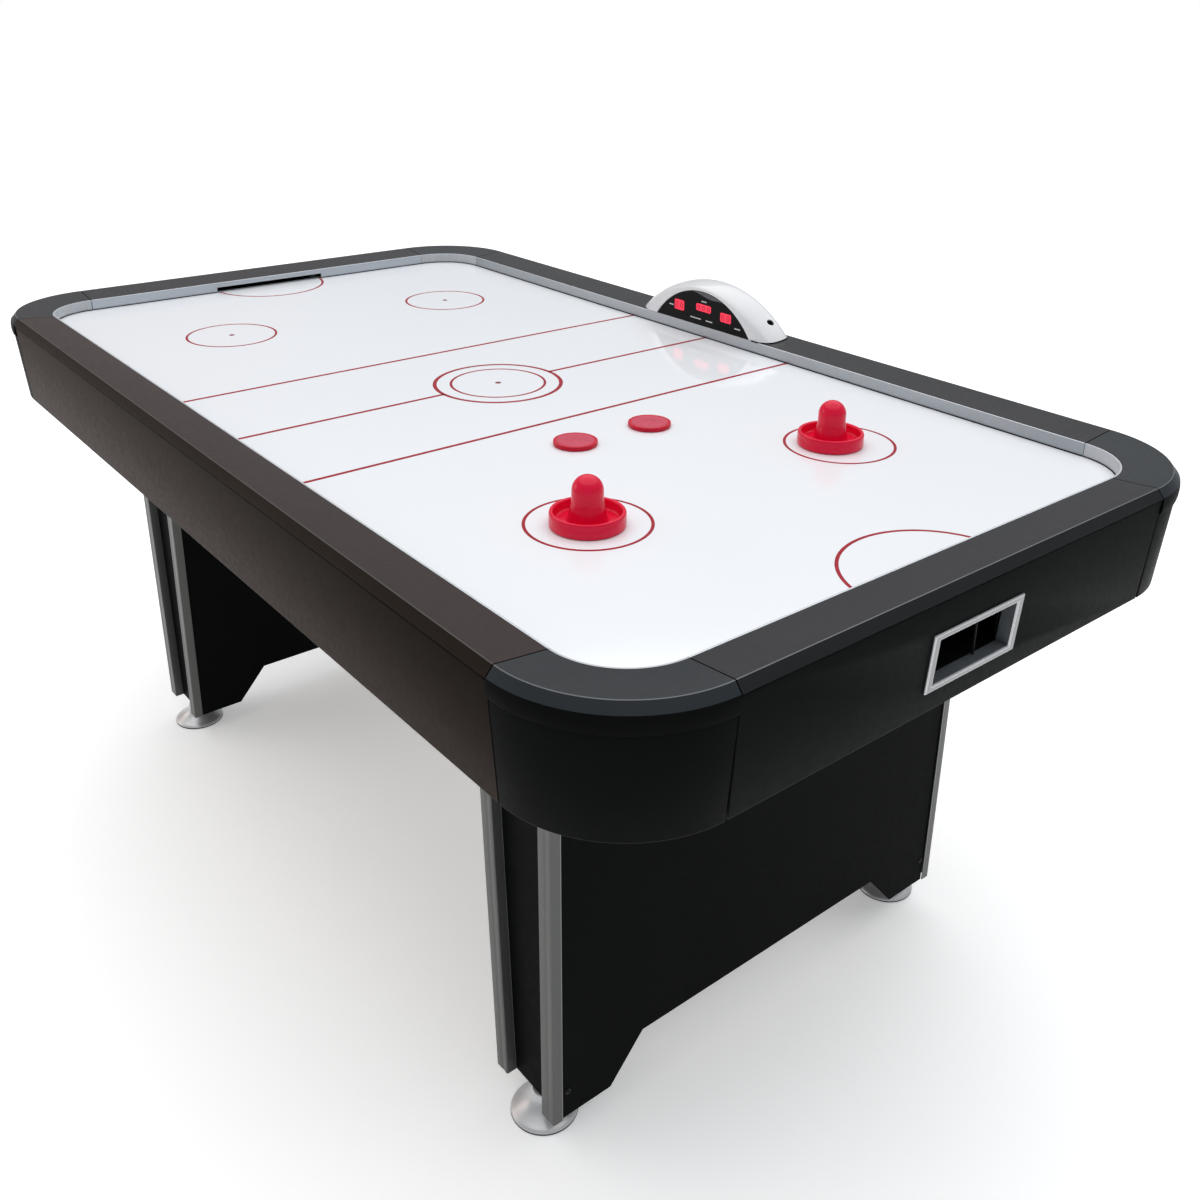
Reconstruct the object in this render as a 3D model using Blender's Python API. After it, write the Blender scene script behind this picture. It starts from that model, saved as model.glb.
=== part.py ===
"""Air hockey table, built from separate boards, rails, liners, skirts, pedestals and loose pieces.

Metres, +Z up. The origin is on the floor under the table's centre. +X runs along the table to the
near end, -Y is the front long side, and the scoring unit stands on the back (+Y) rail.
"""

import math

import bmesh
import bpy
from mathutils import Matrix, Vector

# ---- overall ----
HALF_L = 0.970  # rail's top outer edge, lengthwise
HALF_W = 0.547  # rail's top outer edge, crosswise
CORNER_X, CORNER_Y = 0.8075, 0.3845  # centre of every corner's curves, and the seams' lines
CORNER_R = HALF_L - CORNER_X
SEAM = 0.0012  # gap between a straight piece and a corner piece
GAP = 0.0003  # gap between pieces that touch
STEPS = 12  # facets round each corner

# ---- deck ----
FIELD_TOP, FIELD_UNDER = 0.836, 0.824
FIELD_R = -0.010  # board's edge, from the rail's top outer edge
RAIL_IN = -0.065
RAIL_PROFILE = (
    (RAIL_IN, 0.857), (-0.0012, 0.863), (0.0006, 0.8618), (0.009, 0.8515), (0.0082, 0.8490),
    (-0.0084, 0.8488), (-0.0084, 0.8363), (RAIL_IN, 0.8363),
)
CAP_PROFILE = (
    (RAIL_IN, 0.857), (-0.0012, 0.863), (0.0006, 0.8618), (0.0092, 0.8515), (0.0107, 0.8455),
    (0.0104, 0.838), (0.0088, 0.8292), (-0.0085, 0.8292), (-0.0085, 0.8363), (RAIL_IN, 0.8363),
)
LINER_PROFILE = (
    (-0.0653, 0.8363), (-0.0653, 0.8563), (-0.0662, 0.8567), (-0.0678, 0.8565), (-0.0687, 0.8556),
    (-0.0690, 0.8545), (-0.0690, 0.8363),
)
GOAL_HALF = 0.122
GOAL_TOP = 0.8465
NOTCH_X = 0.915
SLOT_END_X = 0.948

# ---- skirts ----
APRON_TOP, CORNER_APRON_TOP, APRON_BOTTOM = 0.8485, 0.8289, 0.701
APRON_R, APRON_AT, APRON_SLOPE = 0.0066, 0.825, 0.072
BOARD = 0.015

# ---- puck return ----
RETURN_Z = 0.7695
MOUTH_HALF, MOUTH_LO, MOUTH_HI = 0.0735, 0.738, 0.800
BEZEL_OUT = (0.0843, 0.0388)
BEZEL_IN = (0.0727, 0.0300)
BEZEL_DEPTH = 0.003
BOX_X = (0.9065, 0.9535)
BOX_HALF, BOX_LO, BOX_HI, BOX_WALL = 0.130, 0.733, 0.8235, 0.003

# ---- air supply ----
PLENUM = (0.895, 0.495)
PLENUM_LO, PLENUM_HI, PLENUM_WALL, PLENUM_FLOOR = 0.764, 0.8237, 0.015, 0.012
OUTLET_X, OUTLET_R = 0.075, 0.030
HOUSING_R, HOUSING_LO, HOUSING_HI, HOUSING_WALL = 0.120, 0.703, 0.7637, 0.003

# ---- pedestals ----
LEG_TOP, LEG_LOW = 0.7637, 0.0445
PANEL_OUT, PANEL_T = 0.690, 0.014
INNER_X, LEAN = 0.5607, 0.045  # inner panel's face at the bottom, and how far it leans per metre
PANEL_HALF = 0.3835
ARCH_LOW, ARCH_TOP, ARCH_Z = 0.300, 0.243, 0.112
SIDE_Y = (0.3537, 0.3837)
STRIP_Y = (0.3840, 0.400)
STRIP_OUT_X = (0.6655, 0.6924)
STRIP_IN_X = (0.5586, 0.5831)
STRIP_WALL = 0.002
FOOT_X, FOOT_Y, FOOT_R = 0.6278, 0.3687, 0.0476

# ---- scoring unit ----
SCORER_Y = (0.4785, 0.5365)
SCORER_FACE = (0.1315, 0.0680, -0.0130)  # face board's half width, rise and middle
BUTTON_AT = (0.1330, 0.5170, 0.8880)
BUTTON_AXIS = (0.564, -0.103, 0.820)
BUTTON_R = 0.0048

# ---- loose pieces ----
STRIKERS = {"striker_front": (0.559, -0.241), "striker_back": (0.546, 0.224)}
PUCKS = {"puck_front": (0.318, -0.077), "puck_back": (0.3216, 0.063)}
PUCK_R, PUCK_T = 0.033, 0.0065


def clear_scene():
    for obj in list(bpy.data.objects):
        bpy.data.objects.remove(obj, do_unlink=True)


MATERIALS = {
    "deck_white": ((0.90, 0.92, 0.94), 0.12, 0.0),
    "tray_board": ((0.42, 0.33, 0.22), 0.75, 0.0),
    "rail_charcoal": ((0.060, 0.056, 0.062), 0.38, 0.0),
    "cap_charcoal": ((0.055, 0.054, 0.060), 0.40, 0.0),
    "liner_metal": ((0.42, 0.45, 0.49), 0.32, 0.9),
    "liner_corner": ((0.60, 0.62, 0.66), 0.30, 0.0),
    "apron_black": ((0.016, 0.015, 0.015), 0.42, 0.0),
    "corner_black": ((0.011, 0.011, 0.011), 0.45, 0.0),
    "box_black": ((0.01, 0.01, 0.011), 0.6, 0.0),
    "bezel_silver": ((0.55, 0.56, 0.58), 0.30, 0.9),
    "housing_black": ((0.02, 0.02, 0.022), 0.5, 0.0),
    "motor_steel": ((0.45, 0.45, 0.46), 0.35, 1.0),
    "fan_plastic": ((0.03, 0.03, 0.03), 0.5, 0.0),
    "panel_black": ((0.008, 0.009, 0.010), 0.5, 0.0),
    "strip_aluminium": ((0.20, 0.205, 0.21), 0.38, 0.85),
    "foot_silver": ((0.52, 0.53, 0.55), 0.35, 0.8),
    "shell_white": ((0.72, 0.73, 0.75), 0.22, 0.0),
    "face_black": ((0.010, 0.010, 0.011), 0.25, 0.0),
    "button_black": ((0.01, 0.01, 0.01), 0.4, 0.0),
    "striker_red": ((0.55, 0.008, 0.030), 0.28, 0.0),
    "puck_red": ((0.60, 0.012, 0.035), 0.35, 0.0),
}


def material(name):
    found = bpy.data.materials.get(name)
    if found:
        return found
    colour, roughness, metallic = MATERIALS[name]
    made = bpy.data.materials.new(name)
    made.use_nodes = True
    shader = made.node_tree.nodes["Principled BSDF"]
    shader.inputs["Base Color"].default_value = (*colour, 1.0)
    shader.inputs["Roughness"].default_value = roughness
    shader.inputs["Metallic"].default_value = metallic
    return made


# ---- building tools ----


def finish_mesh(name, bm, slot, smooth=None, origin=None):
    """Turns a bmesh into a named object, with its normals out and its origin where asked."""
    bmesh.ops.recalc_face_normals(bm, faces=bm.faces)
    if bm.calc_volume(signed=True) < 0:
        bmesh.ops.reverse_faces(bm, faces=bm.faces)
    if origin is not None:
        bmesh.ops.translate(bm, verts=bm.verts, vec=-Vector(origin))
    mesh = bpy.data.meshes.new(name)
    bm.to_mesh(mesh)
    bm.free()
    obj = bpy.data.objects.new(name, mesh)
    if origin is not None:
        obj.location = origin
    bpy.context.collection.objects.link(obj)
    if slot:
        mesh.materials.append(material(slot))
    if smooth is not None:
        mesh.shade_smooth()
        mesh.set_sharp_from_angle(angle=math.radians(smooth))
    return obj


def add_face(bm, points):
    return bm.faces.new([bm.verts.new(p) for p in points])


def extrude(bm, face, vec):
    grown = bmesh.ops.extrude_face_region(bm, geom=[face])["geom"]
    moved = [g for g in grown if isinstance(g, bmesh.types.BMVert)]
    bmesh.ops.translate(bm, verts=moved, vec=Vector(vec))


def prism(name, points, vec, slot, smooth=None):
    """An outline pushed along a vector."""
    bm = bmesh.new()
    extrude(bm, add_face(bm, points), vec)
    return finish_mesh(name, bm, slot, smooth)


def block_into(bm, lo, hi):
    x0, y0, z0 = lo
    x1, y1, z1 = hi
    base = add_face(bm, [(x0, y0, z0), (x1, y0, z0), (x1, y1, z0), (x0, y1, z0)])
    extrude(bm, base, (0, 0, z1 - z0))


def block(name, lo, hi, slot):
    bm = bmesh.new()
    block_into(bm, lo, hi)
    return finish_mesh(name, bm, slot)


def side_bar(name, profile, sy, slot, smooth=None):
    """A profile of (offset out from the rail's edge, height) run along a long side."""
    reach = CORNER_X - SEAM
    points = [(-reach, sy * (HALF_W + r), z) for r, z in profile]
    return prism(name, points, (2 * reach, 0, 0), slot, smooth)


def end_bar(name, profile, sx, slot, smooth=None):
    """The same profile run across an end."""
    reach = CORNER_Y - SEAM
    points = [(sx * (HALF_L + r), -reach, z) for r, z in profile]
    return prism(name, points, (0, 2 * reach, 0), slot, smooth)


def corner_sweep(name, profile, sx, sy, slot, smooth=35):
    """The same profile spun a quarter turn about a corner's centre."""
    bm = bmesh.new()
    face = add_face(bm, [(CORNER_R + r, 0, z) for r, z in profile])
    geom = [face, *face.edges, *face.verts]
    axis = (0, 0, 1)
    bmesh.ops.spin(bm, geom=geom, cent=(0, 0, 0), axis=axis, angle=math.pi / 2, steps=STEPS)
    for vert in bm.verts:
        vert.co = Vector((sx * (CORNER_X + vert.co.x), sy * (CORNER_Y + vert.co.y), vert.co.z))
    return finish_mesh(name, bm, slot, smooth)


def lathe(name, profile, centre, slot, steps=28, smooth=40, origin=None):
    """A closed (radius, height) outline turned about a vertical line through the centre."""
    bm = bmesh.new()
    verts = [bm.verts.new((r, 0, z)) for r, z in profile]
    edges = [bm.edges.new((a, b)) for a, b in zip(verts, verts[1:])]
    if profile[0][0] > 1e-6:
        edges.append(bm.edges.new((verts[-1], verts[0])))
    turn = 2 * math.pi
    geom = [*verts, *edges]
    bmesh.ops.spin(bm, geom=geom, cent=(0, 0, 0), axis=(0, 0, 1), angle=turn, steps=steps)
    bmesh.ops.remove_doubles(bm, verts=bm.verts, dist=1e-6)
    bmesh.ops.translate(bm, verts=bm.verts, vec=Vector(centre))
    return finish_mesh(name, bm, slot, smooth, origin)


def combine(obj, other, operation):
    other.hide_render = True
    other.display_type = "WIRE"
    modifier = obj.modifiers.new(operation.lower(), "BOOLEAN")
    modifier.operation = operation
    modifier.solver = "EXACT"
    modifier.object = other


def cut(obj, other):
    combine(obj, other, "DIFFERENCE")


def bevel(obj, width, segments=1):
    modifier = obj.modifiers.new("edge", "BEVEL")
    modifier.width = width
    modifier.segments = segments
    modifier.limit_method = "ANGLE"
    modifier.angle_limit = math.radians(40)


def rounded_outline(half_x, half_y, radius, steps=4):
    """Points of a rounded rectangle about the origin, counter-clockwise."""
    points = []
    for quarter, (sx, sy) in enumerate(((1, 1), (-1, 1), (-1, -1), (1, -1))):
        cx, cy = sx * (half_x - radius), sy * (half_y - radius)
        for step in range(steps + 1):
            a = (quarter + step / steps) * math.pi / 2
            points.append((cx + radius * math.cos(a), cy + radius * math.sin(a)))
    return points


# ---- deck ----


def build_playfield():
    half_x, half_y = HALF_L + FIELD_R, HALF_W + FIELD_R
    outline = rounded_outline(half_x, half_y, CORNER_R + FIELD_R, STEPS)
    points = [(x, y, FIELD_UNDER) for x, y in outline]
    field = prism("playfield", points, (0, 0, FIELD_TOP - FIELD_UNDER), "deck_white")
    for sx in (-1, 1):
        xs = sorted((sx * NOTCH_X, sx * 1.0))
        lo = (xs[0], -GOAL_HALF, FIELD_UNDER - 0.01)
        cut(field, block("goal_notch", lo, (xs[1], GOAL_HALF, FIELD_TOP + 0.01), None))


def build_plenum():
    lo = (-PLENUM[0], -PLENUM[1], PLENUM_LO)
    tray = block("air_plenum", lo, (PLENUM[0], PLENUM[1], PLENUM_HI), "tray_board")
    inner = (PLENUM[0] - PLENUM_WALL, PLENUM[1] - PLENUM_WALL)
    lo = (-inner[0], -inner[1], PLENUM_LO + PLENUM_FLOOR)
    cut(tray, block("plenum_hollow", lo, (inner[0], inner[1], PLENUM_HI + 0.01), None))
    hole = ((0, PLENUM_LO - 0.01), (OUTLET_R, PLENUM_LO - 0.01))
    hole += ((OUTLET_R, PLENUM_LO + 0.03), (0, PLENUM_LO + 0.03))
    cut(tray, lathe("plenum_outlet", hole, (OUTLET_X, 0, 0), None, 24))


def build_rails():
    for sy, word in ((-1, "front"), (1, "back")):
        side_bar("side_rail_" + word, RAIL_PROFILE, sy, "rail_charcoal", 35)
        side_bar("side_liner_" + word, LINER_PROFILE, sy, "liner_metal", 35)
    for sx, word in ((1, "near"), (-1, "far")):
        rail = end_bar("end_rail_" + word, RAIL_PROFILE, sx, "rail_charcoal", 35)
        liner = end_bar("end_liner_" + word, LINER_PROFILE, sx, "liner_metal", 35)
        xs = sorted((sx * 0.89, sx * SLOT_END_X))
        lo, hi = (xs[0], -GOAL_HALF, 0.82), (xs[1], GOAL_HALF, GOAL_TOP)
        slot = block("goal_slot", lo, hi, None)
        cut(rail, slot)
        cut(liner, slot)


def each_corner():
    for sx, end in ((1, "near"), (-1, "far")):
        for sy, side in ((-1, "front"), (1, "back")):
            yield sx, sy, end + "_" + side


def apron_r(z):
    """The skirt face's offset out from the rail's edge at a height."""
    return APRON_R - APRON_SLOPE * (APRON_AT - z)


def apron_profile(top):
    low = APRON_BOTTOM
    outer_top, outer_low = apron_r(top), apron_r(low)
    return (
        (outer_top, top), (outer_top - BOARD, top), (outer_low - BOARD, low),
        (outer_low - 0.0012, low), (outer_low, low + 0.0012),
    )


def build_corners():
    for sx, sy, word in each_corner():
        corner_sweep("corner_cap_" + word, CAP_PROFILE, sx, sy, "cap_charcoal")
        corner_sweep("corner_liner_" + word, LINER_PROFILE, sx, sy, "liner_corner")
        profile = apron_profile(CORNER_APRON_TOP)
        corner_sweep("corner_apron_" + word, profile, sx, sy, "corner_black")


def build_aprons():
    profile = apron_profile(APRON_TOP)
    for sy, word in ((-1, "front"), (1, "back")):
        side_bar("side_apron_" + word, profile, sy, "apron_black")
    for sx, word in ((1, "near"), (-1, "far")):
        apron = end_bar("end_apron_" + word, profile, sx, "apron_black")
        xs = sorted((sx * 0.9, sx * 1.1))
        mouth = block("mouth", (xs[0], -MOUTH_HALF, MOUTH_LO), (xs[1], MOUTH_HALF, MOUTH_HI), None)
        cut(apron, mouth)
        build_return_box(word, sx, mouth)
        build_bezel(word, sx)


# ---- puck return ----


def build_return_box(word, sx, mouth):
    xs = sorted((sx * BOX_X[0], sx * BOX_X[1]))
    lo, hi = (xs[0], -BOX_HALF, BOX_LO), (xs[1], BOX_HALF, BOX_HI)
    box = block("return_box_" + word, lo, hi, "box_black")
    lo = (xs[0] + BOX_WALL, -BOX_HALF + BOX_WALL, BOX_LO + BOX_WALL)
    hi = (xs[1] - BOX_WALL, BOX_HALF - BOX_WALL, BOX_HI + 0.01)
    cut(box, block("box_hollow", lo, hi, None))
    xs = sorted((sx * 0.93, sx * 1.1))
    cut(box, block("box_mouth", (xs[0], -MOUTH_HALF, MOUTH_LO), (xs[1], MOUTH_HALF, MOUTH_HI), None))


def build_bezel(word, sx):
    """A flat frame with bevelled edges that lies on the sloping end skirt."""
    outer = rounded_outline(*BEZEL_OUT, 0.0015, 2)
    inner = rounded_outline(*BEZEL_IN, 0.0012, 2)
    bm = bmesh.new()
    rings = []
    levels = ((inner, 0.0), (outer, 0.0), (outer, BEZEL_DEPTH - 0.001), (None, BEZEL_DEPTH))
    for outline, out in levels:
        if outline is None:
            outline = rounded_outline(BEZEL_OUT[0] - 0.001, BEZEL_OUT[1] - 0.001, 0.001, 2)
        rings.append([bm.verts.new((out, y, z)) for y, z in outline])
    lip = rounded_outline(BEZEL_IN[0] + 0.001, BEZEL_IN[1] + 0.001, 0.0015, 2)
    rings.append([bm.verts.new((BEZEL_DEPTH, y, z)) for y, z in lip])
    rings.append([bm.verts.new((BEZEL_DEPTH - 0.001, y, z)) for y, z in inner])
    for one, two in zip(rings, rings[1:] + rings[:1]):
        for i in range(len(one)):
            j = (i + 1) % len(one)
            bm.faces.new((one[i], one[j], two[j], two[i]))
    tilt = math.atan(APRON_SLOPE)
    place = Vector((HALF_L + apron_r(RETURN_Z) + GAP, 0, RETURN_Z))
    bmesh.ops.rotate(bm, verts=bm.verts, cent=(0, 0, 0), matrix=Matrix.Rotation(tilt, 3, "Y"))
    bmesh.ops.translate(bm, verts=bm.verts, vec=place)
    if sx < 0:
        bmesh.ops.scale(bm, verts=bm.verts, vec=(-1, 1, 1))
    finish_mesh("return_bezel_" + word, bm, "bezel_silver")


# ---- air supply ----


def build_blower():
    low, top, wall, r = HOUSING_LO, HOUSING_HI, HOUSING_WALL, HOUSING_R
    profile = (
        (0.050, low), (r, low), (r, top), (r - wall, top), (r - wall, low + wall),
        (0.050, low + wall),
    )
    lathe("blower_housing", profile, (0, 0, 0), "housing_black", 32)
    profile = (
        (0, 0.7635), (0.032, 0.7635), (0.032, 0.739), (0.028, 0.735), (0.004, 0.735),
        (0.004, 0.712), (0, 0.712),
    )
    lathe("fan_motor", profile, (0, 0, 0), "motor_steel", 24)
    build_impeller()


def build_impeller():
    profile = ((0.00405, 0.730), (0.00405, 0.714), (0.012, 0.714), (0.012, 0.7275), (0.085, 0.7275),
               (0.085, 0.730))
    wheel = lathe("impeller", profile, (0, 0, 0), "fan_plastic", 32, origin=(0, 0, 0.72))
    bm = bmesh.new()
    for number in range(9):
        blade = bmesh.new()
        block_into(blade, (0.030, -0.0012, 0.709), (0.083, 0.0012, 0.7285))
        blade.transform(Matrix.Rotation(2 * math.pi * number / 9, 4, "Z"))
        holder = bpy.data.meshes.new("blade")
        bmesh.ops.recalc_face_normals(blade, faces=blade.faces)
        blade.to_mesh(holder)
        blade.free()
        bm.from_mesh(holder)
    combine(wheel, finish_mesh("blades", bm, None), "UNION")


# ---- pedestals ----


def lean(x, z):
    """An inner pedestal face's distance from the table's middle at a height."""
    return x - LEAN * (z - LEG_LOW)


def arch_outline(x_at):
    """A panel with the arch cut out of its lower edge, as (x, y, z)."""
    half = PANEL_HALF
    flat = ((-half, LEG_TOP), (-half, LEG_LOW), (-ARCH_LOW, LEG_LOW), (-ARCH_TOP, ARCH_Z),
            (ARCH_TOP, ARCH_Z), (ARCH_LOW, LEG_LOW), (half, LEG_LOW), (half, LEG_TOP))
    return [(x_at(z), y, z) for y, z in flat]


def channel(half, wall, radius=0.003):
    """Outline of a rounded three-sided channel, open at the bottom, as (across, out)."""
    wide, deep = half
    outer = [(wide, 0.0)]
    for corner in (1, -1):
        start = 0 if corner > 0 else math.pi / 2
        cx, cy = corner * (wide - radius), deep - radius
        for step in range(4):
            a = start + step / 3 * math.pi / 2
            outer.append((cx + radius * math.cos(a), cy + radius * math.sin(a)))
    outer.append((-wide, 0.0))
    inner = [(-wide + wall, 0.0), (-wide + wall, deep - wall), (wide - wall, deep - wall),
             (wide - wall, 0.0)]
    return outer + inner


def build_strip(name, xs, sx, sy, leaning):
    """An aluminium corner profile that runs the height of the pedestal."""
    middle, wide = (xs[0] + xs[1]) / 2, (xs[1] - xs[0]) / 2
    deep = STRIP_Y[1] - STRIP_Y[0]
    bm = bmesh.new()
    face = add_face(bm, [(middle + a, STRIP_Y[0] + o, LEG_LOW) for a, o in
                         channel((wide, deep), STRIP_WALL)])
    shift = -LEAN * (LEG_TOP - LEG_LOW) if leaning else 0
    extrude(bm, face, (shift, 0, LEG_TOP - LEG_LOW))
    bmesh.ops.scale(bm, verts=bm.verts, vec=(sx, sy, 1))
    finish_mesh(name, bm, "strip_aluminium", 35)


def build_pedestal(sx, end):
    slope = -LEAN * (LEG_TOP - LEG_LOW)
    outer = arch_outline(lambda z: sx * (PANEL_OUT - PANEL_T))
    prism("outer_panel_" + end, outer, (sx * PANEL_T, 0, 0), "panel_black")
    inner = arch_outline(lambda z: sx * lean(INNER_X, z))
    prism("inner_panel_" + end, inner, (sx * PANEL_T, 0, 0), "panel_black")
    in_x, out_x = INNER_X + PANEL_T + GAP, PANEL_OUT - PANEL_T - GAP
    for sy, side in ((-1, "front"), (1, "back")):
        word = end + "_" + side
        points = [(in_x, LEG_LOW), (out_x, LEG_LOW), (out_x, LEG_TOP), (in_x + slope, LEG_TOP)]
        points = [(sx * x, sy * SIDE_Y[0], z) for x, z in points]
        board = prism("side_board_" + word, points, (0, sy * (SIDE_Y[1] - SIDE_Y[0]), 0), "panel_black")
        at = (sx * FOOT_X, sy * FOOT_Y, 0)
        hole = ((0, LEG_LOW - 0.01), (0.0058, LEG_LOW - 0.01), (0.0058, LEG_LOW + 0.042),
                (0, LEG_LOW + 0.042))
        cut(board, lathe("stem_hole", hole, at, None, 16))
        build_strip("outer_strip_" + word, STRIP_OUT_X, sx, sy, False)
        build_strip("inner_strip_" + word, STRIP_IN_X, sx, sy, True)
        build_foot("foot_" + word, at)


def build_foot(name, at):
    """A bell-shaped levelling foot with its threaded stem."""
    profile = (
        (0, 0), (FOOT_R - 0.001, 0), (FOOT_R, 0.001), (FOOT_R, 0.0045), (0.045, 0.0075),
        (0.038, 0.0125), (0.029, 0.019), (0.022, 0.026), (0.0185, 0.033), (0.0165, 0.0385),
        (0.005, 0.0395), (0.005, LEG_LOW + 0.028), (0, LEG_LOW + 0.028),
    )
    lathe(name, profile, at, "foot_silver", 24, 30, origin=at)


# ---- scoring unit ----


def rail_top(y):
    """Height of the back rail's sloping top at a distance across the table."""
    return 0.857 + (y - (HALF_W + RAIL_IN)) * (0.863 - 0.857) / (-0.0012 - RAIL_IN)


def arch(half, rise, centre, low, count):
    """Points of a circular arch from right to left, as (x, height)."""
    radius = (half * half + rise * rise) / (2 * rise)
    sweep = math.asin(half / radius)
    points = []
    for step in range(count + 1):
        a = sweep - 2 * sweep * step / count
        points.append((centre + radius * math.sin(a), low + rise - radius + radius * math.cos(a)))
    return points


def build_scorer():
    """The arched cover, standing on the rail, with a face board in its front opening."""
    y0, y1 = SCORER_Y
    count = 22
    sections = (
        (y0, 0.1500, 0.0705, -0.0130), (y0 + 0.0020, 0.1585, 0.0722, -0.0145),
        (y0 + 0.0095, 0.1735, 0.0742, -0.0155), (y0 + 0.0230, 0.1830, 0.0757, -0.0180),
        (y0 + 0.0400, 0.1850, 0.0760, -0.0190), (y0 + 0.0520, 0.1830, 0.0745, -0.0190),
        (y1, 0.1790, 0.0720, -0.0190),
    )
    bm = bmesh.new()
    rows = []
    for y, half, rise, centre in sections:
        base = rail_top(y) + GAP
        rows.append([bm.verts.new((x, y, z)) for x, z in arch(half, rise, centre, base, count)])
    for one, two in zip(rows, rows[1:]):
        for i in range(count):
            bm.faces.new((one[i], one[i + 1], two[i + 1], two[i]))
    bm.faces.new(rows[0])
    bm.faces.new(rows[-1])
    bm.faces.new([row[0] for row in rows] + [row[-1] for row in reversed(rows)])
    shell = finish_mesh("scorer_shell", bm, "shell_white", 40)
    half, rise, centre = SCORER_FACE
    low = rail_top(y0) - 0.0010
    mouth = arch(half + GAP, rise + GAP, centre, low, count)
    points = [(x, y0 - 0.01, z) for x, z in mouth]
    cut(shell, prism("scorer_mouth", points, (0, 0.0480, 0), None))
    floor = rail_top(y0 + 0.0070) + GAP
    outline = [(x, z) for x, z in arch(half, rise, centre, low, count) if z > floor + 0.0005]
    ends = [(outline[0][0] + 0.0002, floor), (outline[-1][0] - 0.0002, floor)]
    points = [(x, y0 + 0.0007, z) for x, z in [ends[0], *outline, ends[1]]]
    prism("scorer_face", points, (0, 0.0060, 0), "face_black")
    build_button(shell)


def build_button(shell):
    """A round button that slides in a hole in the cover's near foot."""
    at, axis = Vector(BUTTON_AT), Vector(BUTTON_AXIS).normalized()
    turn = axis.to_track_quat("Z", "Y").to_matrix().to_4x4()
    hole = bmesh.new()
    r = BUTTON_R + 0.0004
    place = Matrix.Translation(at - axis * 0.002) @ turn
    bmesh.ops.create_cone(
        hole, cap_ends=True, segments=18, radius1=r, radius2=r, depth=0.020, matrix=place
    )
    cut(shell, finish_mesh("button_hole", hole, None))
    body = bmesh.new()
    r = BUTTON_R
    bmesh.ops.create_cone(
        body, cap_ends=True, segments=18, radius1=r, radius2=r, depth=0.0090, matrix=turn
    )
    button = finish_mesh("scorer_button", body, "button_black", 40)
    button.location = at - axis * 0.0035


# ---- loose pieces ----


def build_striker(name, place):
    """A mallet: a dish with a rolled rim and a ball-topped grip in its middle."""
    profile = (
        (0, 0), (0.0470, 0), (0.0490, 0.0020), (0.0490, 0.0175), (0.0475, 0.0203), (0.0450, 0.0205),
        (0.0432, 0.0190), (0.0425, 0.0085), (0.0400, 0.0065), (0.0260, 0.0065), (0.0232, 0.0090),
        (0.0222, 0.0200), (0.0210, 0.0310), (0.0203, 0.0400), (0.0205, 0.0470), (0.0200, 0.0540),
        (0.0178, 0.0605), (0.0135, 0.0648), (0.0070, 0.0670), (0, 0.0675),
    )
    at = (place[0], place[1], FIELD_TOP + GAP)
    lathe(name, profile, at, "striker_red", 28, 40, origin=at)


def build_puck(name, place):
    r, t = PUCK_R, PUCK_T
    profile = (
        (0, 0), (r - 0.001, 0), (r, 0.001), (r, t - 0.001), (r - 0.001, t), (r - 0.0045, t),
        (r - 0.0055, t - 0.0008), (0, t - 0.0008),
    )
    at = (place[0], place[1], FIELD_TOP + GAP)
    lathe(name, profile, at, "puck_red", 28, 30, origin=at)


def build():
    clear_scene()
    build_playfield()
    build_plenum()
    build_rails()
    build_corners()
    build_aprons()
    build_blower()
    build_pedestal(1, "near")
    build_pedestal(-1, "far")
    build_scorer()
    for name, place in STRIKERS.items():
        build_striker(name, place)
    for name, place in PUCKS.items():
        build_puck(name, place)


build()
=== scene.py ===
"""Air hockey table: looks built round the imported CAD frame. Metres, +Z up, +X to the near end."""

import math

import bmesh
import bpy
from mathutils import Matrix, Vector


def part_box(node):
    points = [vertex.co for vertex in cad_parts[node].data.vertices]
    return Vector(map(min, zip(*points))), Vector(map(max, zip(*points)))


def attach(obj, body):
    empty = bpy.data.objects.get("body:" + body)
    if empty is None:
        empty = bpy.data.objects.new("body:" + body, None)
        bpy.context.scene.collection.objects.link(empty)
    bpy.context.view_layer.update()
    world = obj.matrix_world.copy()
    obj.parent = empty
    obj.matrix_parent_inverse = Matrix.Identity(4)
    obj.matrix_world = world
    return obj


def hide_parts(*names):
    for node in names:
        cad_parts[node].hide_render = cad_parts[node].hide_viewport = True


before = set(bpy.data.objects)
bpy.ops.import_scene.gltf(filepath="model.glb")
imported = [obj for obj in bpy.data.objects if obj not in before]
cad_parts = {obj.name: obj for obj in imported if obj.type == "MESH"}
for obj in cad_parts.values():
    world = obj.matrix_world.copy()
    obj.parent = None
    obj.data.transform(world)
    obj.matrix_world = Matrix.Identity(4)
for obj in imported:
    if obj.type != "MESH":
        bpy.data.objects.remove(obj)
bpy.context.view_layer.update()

ENDS = ((1, "near"), (-1, "far"))
SIDES = ((-1, "front"), (1, "back"))
CORNERS = tuple((sx, sy, end + "_" + side) for sx, end in ENDS for sy, side in SIDES)

# ---------------------------------------------------------------- measures taken from the frame

cap_lo, cap_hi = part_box("corner_cap_near_back")
CORNER_X, CORNER_Y = cap_lo.x, cap_lo.y  # centre of the corner's curves
CAP_OVER = 0.0107  # how far the cap stands out past the rail's top edge
HALF_L, HALF_W = cap_hi.x - CAP_OVER, cap_hi.y - CAP_OVER
CORNER_R = HALF_L - CORNER_X
RAIL_TOP = cap_hi.z
FIELD_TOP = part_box("playfield")[1].z
RAIL_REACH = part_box("side_rail_front")[1].x
END_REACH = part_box("end_rail_near")[1].y
APRON_LOW, APRON_HIGH = (corner.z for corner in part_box("side_apron_front"))
LEG_LOW, LEG_TOP = (corner.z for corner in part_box("outer_panel_near"))

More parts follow.
